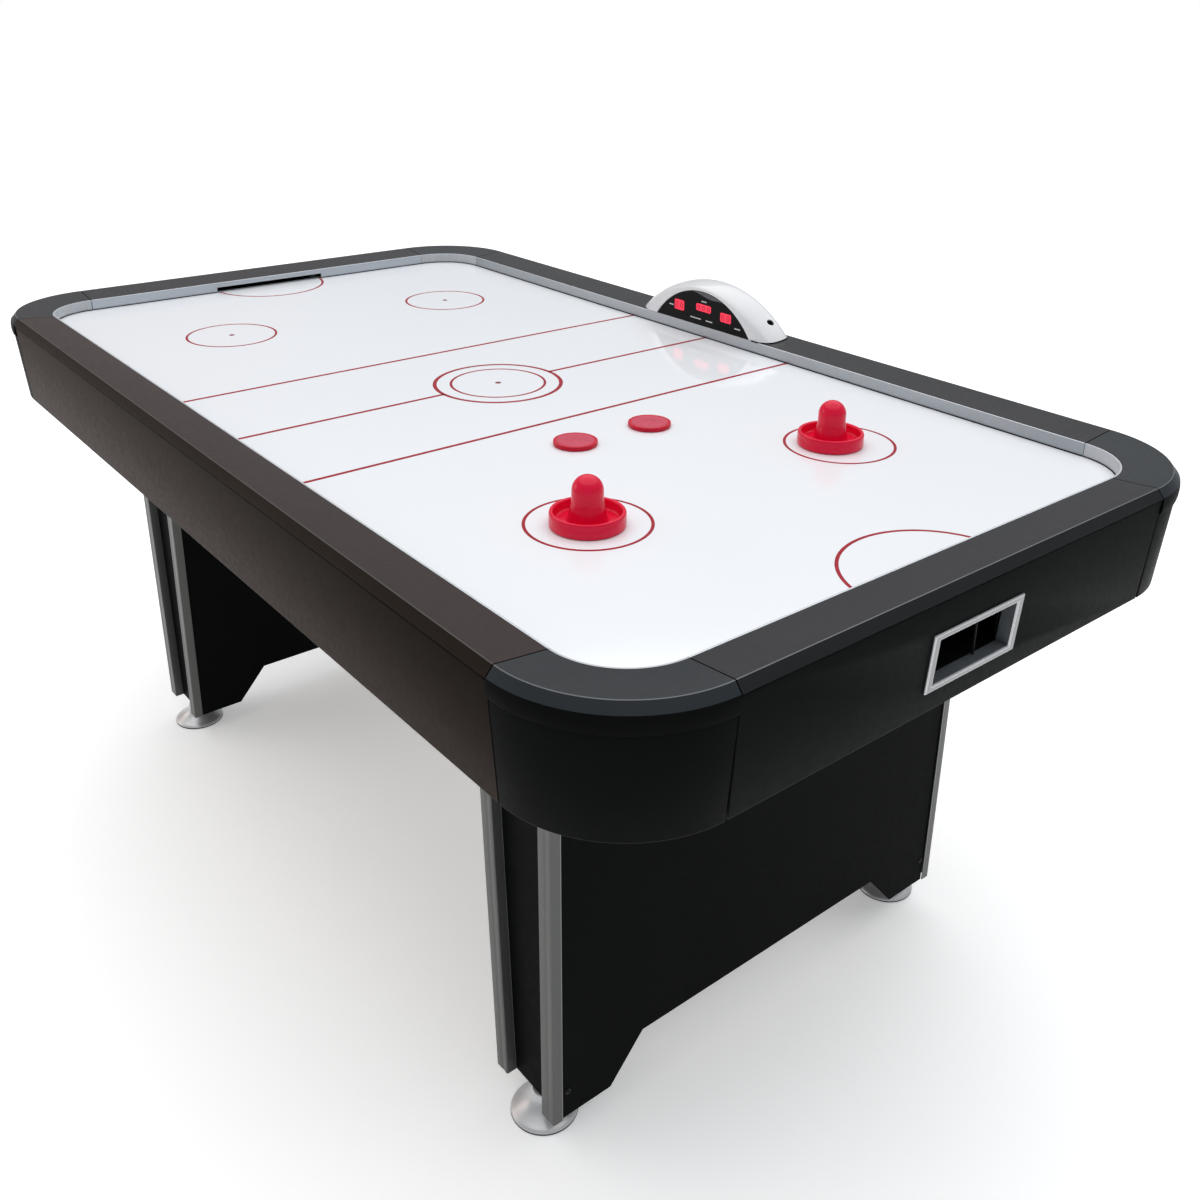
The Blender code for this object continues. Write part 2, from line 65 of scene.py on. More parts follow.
# ---------------------------------------------------------------- measures that it doesn't give

RAIL_IN = -0.065  # the rail's inner edge, from its outer one
RAIL_SEAT_Z, RAIL_PITCH = 0.857, 0.006 / 0.0638  # the rail's top at its inner edge, and its slope
APRON_OUT, APRON_AT, APRON_LEAN = 0.0066, 0.825, 0.072  # the skirt's offset at a height, its lean
APRON_THICK = 0.0150
JOINT_TOP, JOINT_END_LOW, JOINT_CORNER_LOW = 0.0003, 0.0014, 0.0015  # gaps at the skirt joints
GOAL_HALF, GOAL_LOW, GOAL_HIGH = 0.122, 0.82, 0.8465  # the goal slot's opening
MOUTH_HALF, MOUTH_LOW, MOUTH_HIGH = 0.0735, 0.738, 0.800  # the puck return's opening
MOUTH_Z, BEZEL_Z = 0.7690, 0.7695  # middle of the opening and of its frame
BOLT_Y, BOLT_Z = 0.374, 0.089
INK_LOW, INK_HIGH = FIELD_TOP + 0.00004, FIELD_TOP + 0.00016  # the printing's two faces
LINE, ACROSS, CREASE = 0.0044, 0.0066, 0.0048  # printed widths of rings, cross lines and creases
ZONE_X = 0.2155  # the cross lines either side of the middle
SPOT_X, SPOT_Y, SPOT_R = 0.554, 0.236, 0.0815  # the four small rings
CENTRE_OUT, CENTRE_IN = 0.1065, 0.0793  # the centre rings' radii
CREASE_X, CREASE_R = 0.913, 0.117  # the arcs before the goals
FACE_HALF, FACE_RISE, FACE_X = 0.1315, 0.0680, -0.0130  # the scorer's arched display panel
ARC_STEPS = 48
EDGE_ANGLE = 48  # degrees: edges sharper than this are rounded

# ---------------------------------------------------------------- materials


def link(tree, a, b):
    tree.links.new(a, b)


def node(tree, kind, **values):
    made = tree.nodes.new(kind)
    for key, value in values.items():
        setattr(made, key, value)
    return made


def noise(tree, coords, scale, detail, stretch, rough=0.5):
    mapping = node(tree, "ShaderNodeMapping")
    mapping.inputs["Scale"].default_value = stretch
    link(tree, coords, mapping.inputs["Vector"])
    made = node(tree, "ShaderNodeTexNoise")
    made.inputs["Scale"].default_value = scale
    made.inputs["Detail"].default_value = detail
    made.inputs["Roughness"].default_value = rough
    link(tree, mapping.outputs["Vector"], made.inputs["Vector"])
    return made.outputs["Fac"]


def ramp(tree, fac, stops):
    made = node(tree, "ShaderNodeValToRGB")
    for element, (at, colour) in zip(made.color_ramp.elements, stops):
        element.position = at
        element.color = (*colour, 1.0)
    link(tree, fac, made.inputs["Fac"])
    return made.outputs["Color"]


def span(tree, fac, low, high):
    """Spreads the middle of a noise over a range of values."""
    made = node(tree, "ShaderNodeMapRange")
    made.inputs["From Min"].default_value = 0.3
    made.inputs["From Max"].default_value = 0.7
    made.inputs["To Min"].default_value = low
    made.inputs["To Max"].default_value = high
    link(tree, fac, made.inputs["Value"])
    return made.outputs["Result"]


def shade(colour, amount):
    return tuple(min(1.0, max(0.0, c * amount)) for c in colour)


def surface(name, colour, rough, metal=0.0, spec=0.5, coat=0.0, coat_rough=0.1, tint=0.06,
            tint_scale=5.0, spread=0.05, rough_scale=40.0, bump=0.0, bump_scale=400.0,
            stretch=(1, 1, 1), glow=None, spec_tint=(1.0, 1.0, 1.0), sheen=0.0,
            sheen_tint=(1.0, 1.0, 1.0)):
    """A shader whose colour, roughness and fine relief all vary over the surface."""
    made = bpy.data.materials.new(name)
    made.use_nodes = True
    tree = made.node_tree
    shader = tree.nodes["Principled BSDF"]
    sockets = {
        "Base Color": (*colour, 1.0), "Roughness": rough, "Metallic": metal,
        "Specular IOR Level": spec, "Coat Weight": coat, "Coat Roughness": coat_rough,
        "Specular Tint": (*spec_tint, 1.0), "Sheen Weight": sheen,
        "Sheen Tint": (*sheen_tint, 1.0), "Sheen Roughness": 0.40,
    }
    if glow:
        sockets["Emission Color"], sockets["Emission Strength"] = (*glow[0], 1.0), glow[1]
    for socket, value in sockets.items():
        shader.inputs[socket].default_value = value
    coords = node(tree, "ShaderNodeTexCoord").outputs["Object"]
    cloud = noise(tree, coords, tint_scale, 4.0, stretch)
    stops = ((0.3, shade(colour, 1 - tint)), (0.7, shade(colour, 1 + tint)))
    link(tree, ramp(tree, cloud, stops), shader.inputs["Base Color"])
    patch = noise(tree, coords, rough_scale, 5.0, stretch, 0.6)
    link(tree, span(tree, patch, rough - spread, rough + spread), shader.inputs["Roughness"])
    if bump:
        grain = noise(tree, coords, bump_scale, 2.0, stretch)
        relief = node(tree, "ShaderNodeBump")
        relief.inputs["Strength"].default_value = bump
        relief.inputs["Distance"].default_value = 0.0004
        link(tree, grain, relief.inputs["Height"])
        link(tree, relief.outputs["Normal"], shader.inputs["Normal"])
    return made


# the grain and mottling that several finishes share
PRINT = dict(tint=0.05, tint_scale=30, bump=0.03)
FOIL = dict(tint_scale=9, spread=0.04, rough_scale=120, bump=0.16, bump_scale=1400)
FOIL_LINE = dict(tint=0.10, tint_scale=30, spread=0.04, rough_scale=150, bump=0.10,
                 bump_scale=1400)
SKIRT = dict(tint=0.08, tint_scale=7, rough_scale=110, bump_scale=1300)
DARK_LINE = dict(tint=0.12, tint_scale=30, rough_scale=120, bump=0.10, bump_scale=1200)
CAP_GRAIN = dict(tint_scale=12, rough_scale=150, bump_scale=1500)
SATIN = dict(metal=0.45, tint=0.05, tint_scale=10, spread=0.06, rough_scale=60, bump=0.10,
             bump_scale=500, stretch=(0.08, 0.08, 1))
SILVER = dict(metal=0.5, tint=0.03, spread=0.03, rough_scale=200, bump_scale=900)
DRAWN = dict(tint=0.04, spread=0.04, bump=0.03, bump_scale=600, stretch=(1, 1, 0.04))
MOULDED_RED = dict(spread=0.06, rough_scale=90, bump_scale=700, tint_scale=40)

MAT = {
    "field": surface("field_gloss", (0.905, 0.925, 0.955), 0.09, spec=0.42, coat=0.15,
                     coat_rough=0.03, tint=0.010, tint_scale=1.6, spread=0.03, rough_scale=9,
                     bump=0.02, bump_scale=60),
    "line": surface("line_red", (0.36, 0.002, 0.014), 0.30, spec=0.2, **PRINT),
    "dot": surface("dot_red", (0.24, 0.002, 0.010), 0.30, spec=0.3, **PRINT),
    # painted reflection: the front rail's foil is a warmer, redder copy of the back and end rails'
    # foil
    "rail": surface("rail_foil_painted_reflection", (0.0330, 0.0225, 0.0210), 0.42, spec=0.17, sheen=0.03,
                    spec_tint=(1.0, 0.90, 0.88), sheen_tint=(1.0, 0.62, 0.58), **FOIL),
    "rail_end": surface("rail_end_foil", (0.0275, 0.0268, 0.0295), 0.42, spec=0.19, **FOIL),
    # painted highlight: the rounded outer top edge of the rails and caps gets a lighter copy of
    # their foil, for the light that edge catches
    "rail_edge_highlight": surface("rail_edge_painted_highlight", (0.135, 0.140, 0.150), 0.30, spec=0.4, **FOIL_LINE),
    "side_edge_highlight": surface("side_rail_edge_painted_highlight", (0.070, 0.066, 0.064), 0.34, spec=0.3,
                         **FOIL_LINE),
    # painted shade: the outer bands are darker copies of the rail foil, for their side-facing
    # faces; the end band's copy also colours the return's rib
    "rail_band_shade": surface("rail_side_band_painted_shade", (0.0150, 0.0108, 0.0088), 0.46, spec=0.03, tint=0.07,
                         spec_tint=(1.0, 0.80, 0.70), sheen=0.05, sheen_tint=(1.0, 0.72, 0.62),
                         **FOIL),
    "end_band": surface("rail_end_band_painted_shade", (0.0158, 0.0172, 0.0190), 0.46, spec=0.07, tint=0.07,
                        **FOIL),
    "cap": surface("cap_moulding", (0.0255, 0.0292, 0.0322), 0.42, spec=0.19, tint=0.05,
                   spread=0.04, bump=0.14, **CAP_GRAIN),
    # painted shade: the cap's band is a darker copy of its moulding, for its side-facing faces
    "cap_band_shade": surface("cap_band_painted_shade", (0.0215, 0.0260, 0.0300), 0.44, spec=0.10,
                        tint=0.05, spread=0.04, bump=0.14, **CAP_GRAIN),
    # painted shadow: the cap's skirt below the band is a near-black copy of its moulding, for the
    # shadow under the band
    "cap_skirt_shadow": surface("cap_lip_painted_shadow", (0.0034, 0.0037, 0.0035), 0.5, spec=0.014,
                         tint=0.08, bump=0.12, **CAP_GRAIN),
    # painted light and shade: the side and end liners are one satin extrusion; the side liners get
    # a darker copy and the end liners a lighter one
    "liner": surface("liner_satin_side_shade", (0.38, 0.41, 0.44), 0.36, **SATIN),
    "liner_end_lit": surface("liner_satin_end_lit", (0.56, 0.60, 0.65), 0.36, **SATIN),
    # painted highlight: the liners' rounded crest is a lighter copy of their satin
    "liner_crest_painted_highlight": surface("liner_crest_painted_highlight", (0.62, 0.65, 0.68), 0.30, metal=0.3, tint=0.05,
                           tint_scale=20, rough_scale=60, bump=0.05, bump_scale=500),
    "liner_corner": surface("liner_moulding", (0.54, 0.560, 0.59), 0.30, tint=0.03,
                            tint_scale=60, spread=0.04, rough_scale=90, bump=0.05,
                            bump_scale=420, stretch=(1, 1, 0.05)),
    "apron": surface("apron_foil", (0.0056, 0.0036, 0.0026), 0.44, spec=0.019, bump=0.12,
                     spec_tint=(1.0, 0.80, 0.68), sheen=0.066, sheen_tint=(1.0, 0.62, 0.46),
                     **SKIRT),
    "apron_end": surface("apron_end_foil", (0.0046, 0.0053, 0.0051), 0.44, spec=0.016,
                         bump=0.14, **SKIRT),
    "apron_corner": surface("apron_corner_moulding", (0.0040, 0.0045, 0.0042), 0.46, spec=0.020,
                            tint=0.08, tint_scale=9, rough_scale=140, bump=0.12,
                            bump_scale=1400),
    # painted highlight: the small chamfer along the skirts' foot is lighter than the skirt foil
    "apron_edge_highlight": surface("apron_edge_painted_highlight", (0.010, 0.010, 0.0097), 0.42, spec=0.06,
                          **DARK_LINE),
    "box": surface("box_plastic", (0.0050, 0.0055, 0.0060), 0.5, spec=0.15, tint=0.1,
                   tint_scale=20, bump=0.25, bump_scale=700),
    "mdf_edge": surface("painted_edge", (0.105, 0.115, 0.122), 0.55, spec=0.2, tint=0.12,
                        tint_scale=60, bump=0.3, bump_scale=500),
    "bezel": surface("bezel_silver", (0.29, 0.29, 0.295), 0.36, tint_scale=25, bump=0.02,
                     **SILVER),
    # painted highlight: the bezel's edge bevels are a lighter copy of its silver
    "bezel_edge_highlight": surface("bezel_painted_highlight_edge", (0.50, 0.50, 0.51), 0.26, tint_scale=40,
                          bump=0.01, **SILVER),
    "tray": surface("tray_board", (0.34, 0.26, 0.17), 0.78, spec=0.25, tint=0.20, tint_scale=24,
                    bump=0.5, bump_scale=260),
    "housing": surface("housing_plastic", (0.020, 0.020, 0.022), 0.5, spec=0.4, tint=0.1,
                       tint_scale=20, bump=0.3, bump_scale=500),
    "steel": surface("plated_steel", (0.46, 0.46, 0.47), 0.32, metal=1.0, tint_scale=40,
                     spread=0.08, rough_scale=90, bump=0.05, bump_scale=600),
    "fan": surface("fan_plastic", (0.035, 0.035, 0.037), 0.45, tint=0.1, tint_scale=25,
                   bump=0.2, bump_scale=500),
    "panel": surface("panel_foil", (0.0036, 0.0041, 0.0039), 0.50, spec=0.018, tint=0.10,
                     tint_scale=6, rough_scale=90, bump=0.14, bump_scale=1200),
    "panel_edge": surface("panel_edge_band", (0.016, 0.016, 0.016), 0.45, spec=0.1,
                          **DARK_LINE),
    # near-black for the joints' backing, and painted shadow: the line along the rails' band foot
    # and the bead at the liners' foot
    "seam": surface("joint_and_painted_shadow_black", (0.0012, 0.0012, 0.0012), 0.8, spec=0.02, tint=0.2,
                    tint_scale=60, bump=0.1, bump_scale=600),
    # painted highlight: the thin lip at the open edge of each corner profile is lighter than the
    # profile
    "strip_edge_highlight": surface("strip_painted_highlight_edge", (0.26, 0.27, 0.265), 0.32, metal=0.4,
                          tint_scale=20, rough_scale=90, **DRAWN),
    "strip": surface("strip_anodised", (0.098, 0.100, 0.096), 0.40, metal=0.45, tint_scale=14,
                     rough_scale=70, **DRAWN),
    "foot": surface("foot_satin", (0.63, 0.63, 0.635), 0.34, metal=0.55, tint=0.02,
                    tint_scale=20, spread=0.03, rough_scale=60, bump=0.004, bump_scale=700),
    "rubber": surface("foot_rubber", (0.010, 0.010, 0.010), 0.7, spec=0.3, tint=0.1,
                      tint_scale=60, bump=0.3, bump_scale=700),
    "shell": surface("shell_pearl", (0.78, 0.785, 0.80), 0.22, coat=0.4, coat_rough=0.08,
                     tint=0.02, tint_scale=12, rough_scale=60, bump=0.02, bump_scale=500),
    "face": surface("face_gloss", (0.0050, 0.0050, 0.0055), 0.25, spec=0.07, tint=0.1,
                    tint_scale=30, rough_scale=80, bump=0.02),
    "lamp": surface("display_red", (0.55, 0.010, 0.030), 0.30, spec=0.2, tint=0.05,
                    tint_scale=120, bump=0.05, bump_scale=900, glow=((1.0, 0.050, 0.110), 0.72)),
    "digit": surface("digit_dark", (0.10, 0.001, 0.004), 0.35, spec=0.2, tint=0.08,
                     tint_scale=150, bump=0.05, bump_scale=900, glow=((1.0, 0.01, 0.02), 0.10)),
    "accent": surface("face_accent", (0.105, 0.100, 0.115), 0.30, spec=0.3, tint=0.08,
                      tint_scale=40, bump=0.08, bump_scale=800),
    "mark": surface("face_mark", (0.66, 0.66, 0.68), 0.4, spec=0.2, tint=0.05, tint_scale=80,
                    bump=0.05),
    "button": surface("button_black", (0.0015, 0.0015, 0.0015), 0.5, spec=0.02, tint=0.1,
                      tint_scale=90, bump=0.1, bump_scale=900),
    "striker": surface("striker_red", (0.78, 0.004, 0.044), 0.24, spec=0.20, coat=0.14,
                       coat_rough=0.05, tint=0.03, tint_scale=30, spread=0.03, rough_scale=70,
                       bump=0.01, bump_scale=500),
    # painted highlight: the puck's top is a lighter, paler copy of its red
    "puck_top_highlight": surface("puck_face_painted_highlight", (0.58, 0.060, 0.105), 0.42, spec=0.25, tint=0.04, bump=0.12,
                        **MOULDED_RED),
    "puck": surface("puck_red", (0.58, 0.004, 0.026), 0.34, spec=0.20, tint=0.05, bump=0.10,
                    **MOULDED_RED),
    "bolt": surface("bolt_black", (0.006, 0.006, 0.006), 0.40, metal=0.2, spec=0.2, tint=0.1,
                    tint_scale=90, bump=0.1, bump_scale=900),
    "floor": surface("floor_pale", (0.94, 0.945, 0.95), 0.7, spec=0.1, tint=0.004,
                     tint_scale=0.6, spread=0.04, rough_scale=2, bump=0.03, bump_scale=20,
                     glow=((1.0, 1.0, 1.0), 0.30)),
}

# ---------------------------------------------------------------- mesh tools


def place(name, data, at=(0, 0, 0)):
    obj = bpy.data.objects.new(name, data)
    obj.location = at
    bpy.context.scene.collection.objects.link(obj)
    return obj


def to_object(name, bm):
    """Puts a bmesh in the scene with its faces turned outwards."""
    bmesh.ops.recalc_face_normals(bm, faces=bm.faces)
    if bm.calc_volume(signed=True) < 0:
        bmesh.ops.reverse_faces(bm, faces=bm.faces)
    mesh = bpy.data.meshes.new(name)
    bm.to_mesh(mesh)
    bm.free()
    return place(name, mesh)


def emit(name, bm, mats, slot, nodes=(), body="table", smooth=35, bevel=None):
    """Makes a bmesh a piece that rides on a body. mats is one material's key, or a row of them."""
    obj = to_object(name, bm)
    obj.data.shade_smooth()
    obj.data.set_sharp_from_angle(angle=math.radians(smooth))
    for key in (mats,) if isinstance(mats, str) else mats:
        obj.data.materials.append(MAT[key])
    if bevel:
        round_edges(obj, bevel)
    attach(obj, body)
    if nodes:
        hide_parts(*nodes)
    return obj


def swept(name, rings, mats, slot, nodes=(), loop=False, kinds=None, **finish):
    """A piece that skins a row of outlines."""
    bm = bmesh.new()
    loft(bm, rings, loop, kinds)
    return emit(name, bm, mats, slot, nodes, **finish)


def slab(name, lo, hi, mats, slot, **finish):
    """A board or bar between two corners."""
    bm = bmesh.new()
    box_into(bm, lo, hi)
    return emit(name, bm, mats, slot, **finish)


def turned(name, profile, place, steps, mats, slot, nodes=(), **finish):
    """A piece turned about an axis."""
    bm = bmesh.new()
    lathe_into(bm, profile, place, steps)
    return emit(name, bm, mats, slot, nodes, **finish)


def round_edges(obj, width, segments=2):
    modifier = obj.modifiers.new("edges", "BEVEL")
    modifier.width = width
    modifier.segments = segments
    modifier.limit_method = "ANGLE"
    modifier.angle_limit = math.radians(EDGE_ANGLE)


def cut(obj, cutter):
    modifier = obj.modifiers.new("cut", "BOOLEAN")
    modifier.operation = "DIFFERENCE"
    modifier.solver = "EXACT"
    modifier.object = cutter


def helper(name, bm):
    """A cutting body, which is never shown."""
    obj = to_object(name, bm)
    obj.hide_render = obj.hide_viewport = True
    return obj


def box_cutter(name, lo, hi):
    bm = bmesh.new()
    box_into(bm, lo, hi)
    return helper(name, bm)


def loft(bm, rings, loop=False, kinds=None):
    """Skins closed outlines of equal length. It caps both ends, or with loop joins the last to the
    first. kinds gives each outline segment's material index."""
    rows = [[bm.verts.new(p) for p in ring] for ring in rings]
    pairs = list(zip(rows, rows[1:]))
    if loop:
        pairs.append((rows[-1], rows[0]))
    for one, two in pairs:
        count = len(one)
        for i in range(count):
            j = (i + 1) % count
            face = bm.faces.new((one[i], one[j], two[j], two[i]))
            if kinds:
                face.material_index = kinds[i]
    if not loop:
        for row in (rows[0], rows[-1]):
            bm.faces.new(row).material_index = max(kinds) if kinds else 0


def between(sign, a, b):
    """A span on one side of the table, in rising order."""
    return sorted((sign * a, sign * b))


def box_into(bm, lo, hi):
    (x0, y0, z0), (x1, y1, z1) = lo, hi
    low = [(x0, y0, z0), (x1, y0, z0), (x1, y1, z0), (x0, y1, z0)]
    loft(bm, (low, [(x, y, z1) for x, y, _ in low]))


def prism_into(bm, outline, y0, y1):
    loft(bm, ([(x, y0, z) for x, z in outline], [(x, y1, z) for x, z in outline]))


def lathe_into(bm, profile, place, steps):
    """Turns a (radius, height) outline about the local Z of a placing matrix."""
    rows = []
    for r, z in profile:
        if r < 1e-7:
            rows.append([bm.verts.new(place @ Vector((0, 0, z)))])
            continue
        row = []
        for step in range(steps):
            a = 2 * math.pi * step / steps
            row.append(bm.verts.new(place @ Vector((r * math.cos(a), r * math.sin(a), z))))
        rows.append(row)
    pairs = list(zip(rows, rows[1:]))
    if len(rows[0]) > 1:
        pairs.append((rows[-1], rows[0]))
    for one, two in pairs:
        for i in range(steps):
            j = (i + 1) % steps
            if len(one) == 1:
                bm.faces.new((one[0], two[j], two[i]))
            elif len(two) == 1:
                bm.faces.new((one[i], one[j], two[0]))
            else:
                bm.faces.new((one[i], one[j], two[j], two[i]))


def upright(lo, hi, z=0):
    """The placing matrix of a round piece that stands in a node's box."""
    return Matrix.Translation(((lo.x + hi.x) / 2, (lo.y + hi.y) / 2, z))


def arc(cx, cz, r, start, end, count):
    """Points of an arc as (across, up), in degrees from the across axis."""
    points = []
    for step in range(count + 1):
        a = math.radians(start + (end - start) * step / count)
        points.append((cx + r * math.cos(a), cz + r * math.sin(a)))
    return points


def rounded(half_y, half_z, radius, steps=5):
    """A rectangle with rounded corners."""
    points = []
    for quarter, (sy, sz) in enumerate(((1, 1), (-1, 1), (-1, -1), (1, -1))):
        cy, cz = sy * (half_y - radius), sz * (half_z - radius)
        points += arc(cy, cz, radius, quarter * 90, quarter * 90 + 90, steps)
    return points


def arch(half, rise, centre, low, count):
    """A flat arch's points, from its far foot on one side to the other."""
    radius = (half * half + rise * rise) / (2 * rise)
    sweep = math.asin(half / radius)
    points = []
    for step in range(count + 1):
        a = sweep - 2 * sweep * step / count
        points.append((centre + radius * math.sin(a), low + rise - radius + radius * math.cos(a)))
    return points


def curve_through(points, count):
    """A Catmull-Rom line through points, with count steps in each span."""
    ends = [points[0], *points, points[-1]]
    made = []
    for a, b, c, d in zip(ends, ends[1:], ends[2:], ends[3:]):
        for step in range(count):
            t = step / count
            made.append(tuple(
                0.5 * (2 * q + (r - p) * t + (2 * p - 5 * q + 4 * r - s) * t * t
                       + (3 * q - p - 3 * r + s) * t ** 3)
                for p, q, r, s in zip(a, b, c, d)))
    made.append(tuple(points[-1]))
    return made


def trimmed(points, high, low):
    """How much shorter each profile point's piece is, for a joint that opens towards its foot."""
    top, bottom = max(p[1] for p in points), min(p[1] for p in points)
    return [high + (low - high) * (top - z) / (top - bottom) for _, z in points]


def side_rings(profile, sy, reach):
    return [[(x, sy * (HALF_W + r), z) for r, z in profile] for x in (-reach, reach)]


def end_rings(profile, sx, reach, trim=None):
    trim = trim or [0.0] * len(profile)
    return [[(sx * (HALF_L + r), way * (reach - t), z) for (r, z), t in zip(profile, trim)]
            for way in (-1, 1)]


def corner_rings(profile, sx, sy, trim=None, side_trim=0.0):
    """Sweeps a profile round a corner. trim shortens its end by the table's end, point by point."""
    trim = trim or [0.0] * len(profile)
    rings = []
    for step in range(ARC_STEPS + 1):
        ring = []
        for (r, z), t in zip(profile, trim):
            radius = CORNER_R + r
            first, last = t / radius, math.pi / 2 - side_trim / radius
            a = first + (last - first) * step / ARC_STEPS
            ring.append((sx * (CORNER_X + radius * math.cos(a)),
                         sy * (CORNER_Y + radius * math.sin(a)), z))
        rings.append(ring)
    return rings


# ---------------------------------------------------------------- profiles
# (offset out from the rail's edge, height), with the material index of each segment in KINDS

T = RAIL_TOP
TOP = [(RAIL_IN, T - 0.0262), (RAIL_IN, T - 0.0066), (RAIL_IN + 0.0006, T - 0.0060)]
# this small arc at the outer top edge carries the painted highlight
TOP += arc(-0.0012, T - 0.0016, 0.0016, 84, 40, 4) + [(0.0078, T - 0.0098)]
RAIL = (
    TOP + arc(0.0075, T - 0.0122, 0.0016, 28, -60, 5)
    + [(0.0070, T - 0.0140), (-0.0080, T - 0.0140), (-0.0080, T - 0.0262)]
)
# segment kind 2, the band, takes the darker band material: painted shade
RAIL_KINDS = [0] * 3 + [1] * 4 + [2] * 3 + [3] * 2 + [2] * (len(RAIL) - 12)
# the last material, near-black, paints the shadow under the band's overhang onto the band's lower
# rounded edge
RAIL_MATS = ("rail", "side_edge_highlight", "rail_band_shade", "seam")
# the back rail takes the end rails' foil; only the front rail has the warmer painted-reflection
# copy
BACK_RAIL_MATS = ("rail_end",) + RAIL_MATS[1:]
END_RAIL_MATS = ("rail_end", "rail_edge_highlight", "end_band", "seam")
CAP = (
    TOP + arc(0.0075, T - 0.0122, 0.0020, 30, 0, 3)
    + [(0.0100, T - 0.0150), (0.0104, T - 0.0180), (0.0104, T - 0.0230), (0.0100, T - 0.0280),
       (0.0093, T - 0.0318)]
    + arc(0.0080, T - 0.0326, 0.0011, 0, -90, 3)
    + [(-0.0083, T - 0.0337), (-0.0083, T - 0.0262)]
)
# from kind 3 on, the skirt below the band takes the near-black skirt material: painted shadow
CAP_KINDS = [0] * 3 + [1] * 4 + [2] * 2 + [3] * (len(CAP) - 9)
CAP_MATS = ("cap", "rail_edge_highlight", "cap_band_shade", "cap_skirt_shadow")
F = FIELD_TOP
LINER = (
    [(-0.0653, F + 0.0004), (-0.0653, F + 0.0203)]
    + arc(-0.0669, F + 0.0191, 0.0016, 70, 180, 8)
    + [(-0.0685, F + 0.0120), (-0.0689, F + 0.0040), (-0.0688, F + 0.0014),
       (-0.0680, F + 0.0004)]
)
# the crest segments take the painted highlight material
LINER_KINDS = [0, 1] + [1] * 5 + [0] * (len(LINER) - 7)
# painted shadow: a near-black bead at the liners' foot draws the shadow line where they meet the
# board
LINER_SHADOW = [(-0.0686, F + 0.00008), (-0.0697, F + 0.00008), (-0.0697, F + 0.0010),
        (-0.0693, F + 0.0014), (-0.0686, F + 0.0014)]
# segments 3 and 4, the chamfer at the foot, take the painted highlight material
APRON_KINDS = [0, 0, 0, 1, 1, 0, 0]


def apron_r(z):
    """The skirt face's offset out from the rail's edge at a height."""
    return APRON_OUT - APRON_LEAN * (APRON_AT - z)


def apron_profile(top):
    low = APRON_LOW
    return [
        (apron_r(top) - 0.0006, top), (apron_r(top) - APRON_THICK, top),
        (apron_r(low) - APRON_THICK, low), (apron_r(low) - 0.0014, low),
        (apron_r(low) - 0.0004, low + 0.0004), (apron_r(low + 0.0014), low + 0.0014),
        (apron_r(top - 0.001), top - 0.001),
    ]


# ---------------------------------------------------------------- deck


def build_rails():
    for sy, word in SIDES:
        swept("side_rail_top_" + word, side_rings(RAIL, sy, RAIL_REACH),
              RAIL_MATS if sy < 0 else BACK_RAIL_MATS, "rail_charcoal", ["side_rail_" + word],
              kinds=RAIL_KINDS, bevel=0.0005)
        swept("side_cushion_" + word, side_rings(LINER, sy, RAIL_REACH),
              ("liner", "liner_crest_painted_highlight"), "liner_metal", ["side_liner_" + word],
              kinds=LINER_KINDS, smooth=50, bevel=0.0003)
    for sx, word in ENDS:
        xs = between(sx, 0.89, 0.948)
        slot_cutter = box_cutter("goal_cutter_" + word, (xs[0], -GOAL_HALF, GOAL_LOW),
                                 (xs[1], GOAL_HALF, GOAL_HIGH))
        rail = swept("end_rail_top_" + word, end_rings(RAIL, sx, END_REACH), END_RAIL_MATS,
                     "rail_charcoal", ["end_rail_" + word], kinds=RAIL_KINDS)
        cut(rail, slot_cutter)
        round_edges(rail, 0.0005)
        liner = swept("end_cushion_" + word, end_rings(LINER, sx, END_REACH),
                      ("liner_end_lit", "liner_crest_painted_highlight"), "liner_metal", ["end_liner_" + word],
                      kinds=LINER_KINDS, smooth=50)
        cut(liner, slot_cutter)


def build_corners():
    for sx, sy, word in CORNERS:
        swept("corner_top_" + word, corner_rings(CAP, sx, sy), CAP_MATS, "cap_charcoal",
              ["corner_cap_" + word], kinds=CAP_KINDS, bevel=0.0005)
        swept("corner_cushion_" + word, corner_rings(LINER, sx, sy), "liner_corner",
              "liner_corner", ["corner_liner_" + word], smooth=50, bevel=0.0003)
        profile = apron_profile(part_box("corner_apron_" + word)[1].z)
        trim = trimmed(profile, JOINT_TOP, JOINT_CORNER_LOW)
        swept("corner_skirt_" + word, corner_rings(profile, sx, sy, trim, 0.0004),
              ("apron_corner", "apron_edge_highlight"), "corner_black", ["corner_apron_" + word],
              kinds=APRON_KINDS, bevel=0.0006)


def build_aprons():
    profile = apron_profile(APRON_HIGH)
    for sy, word in SIDES:
        swept("side_skirt_" + word, side_rings(profile, sy, RAIL_REACH - 0.0003),
              ("apron", "apron_edge_highlight"), "apron_black", ["side_apron_" + word],
              kinds=APRON_KINDS, bevel=0.0005)
    for sx, word in ENDS:
        trim = trimmed(profile, JOINT_TOP, JOINT_END_LOW)
        skirt = swept("end_skirt_" + word, end_rings(profile, sx, END_REACH, trim),
                      ("apron_end", "apron_edge_highlight"), "apron_black", ["end_apron_" + word],
                      kinds=APRON_KINDS)
        xs = between(sx, 0.9, 1.1)
        cut(skirt, box_cutter("mouth_cutter_" + word, (xs[0], -MOUTH_HALF, MOUTH_LOW),
                              (xs[1], MOUTH_HALF, MOUTH_HIGH)))
        round_edges(skirt, 0.0005)
        build_mouth_lining(sx, word)
        build_bezel(sx, word)


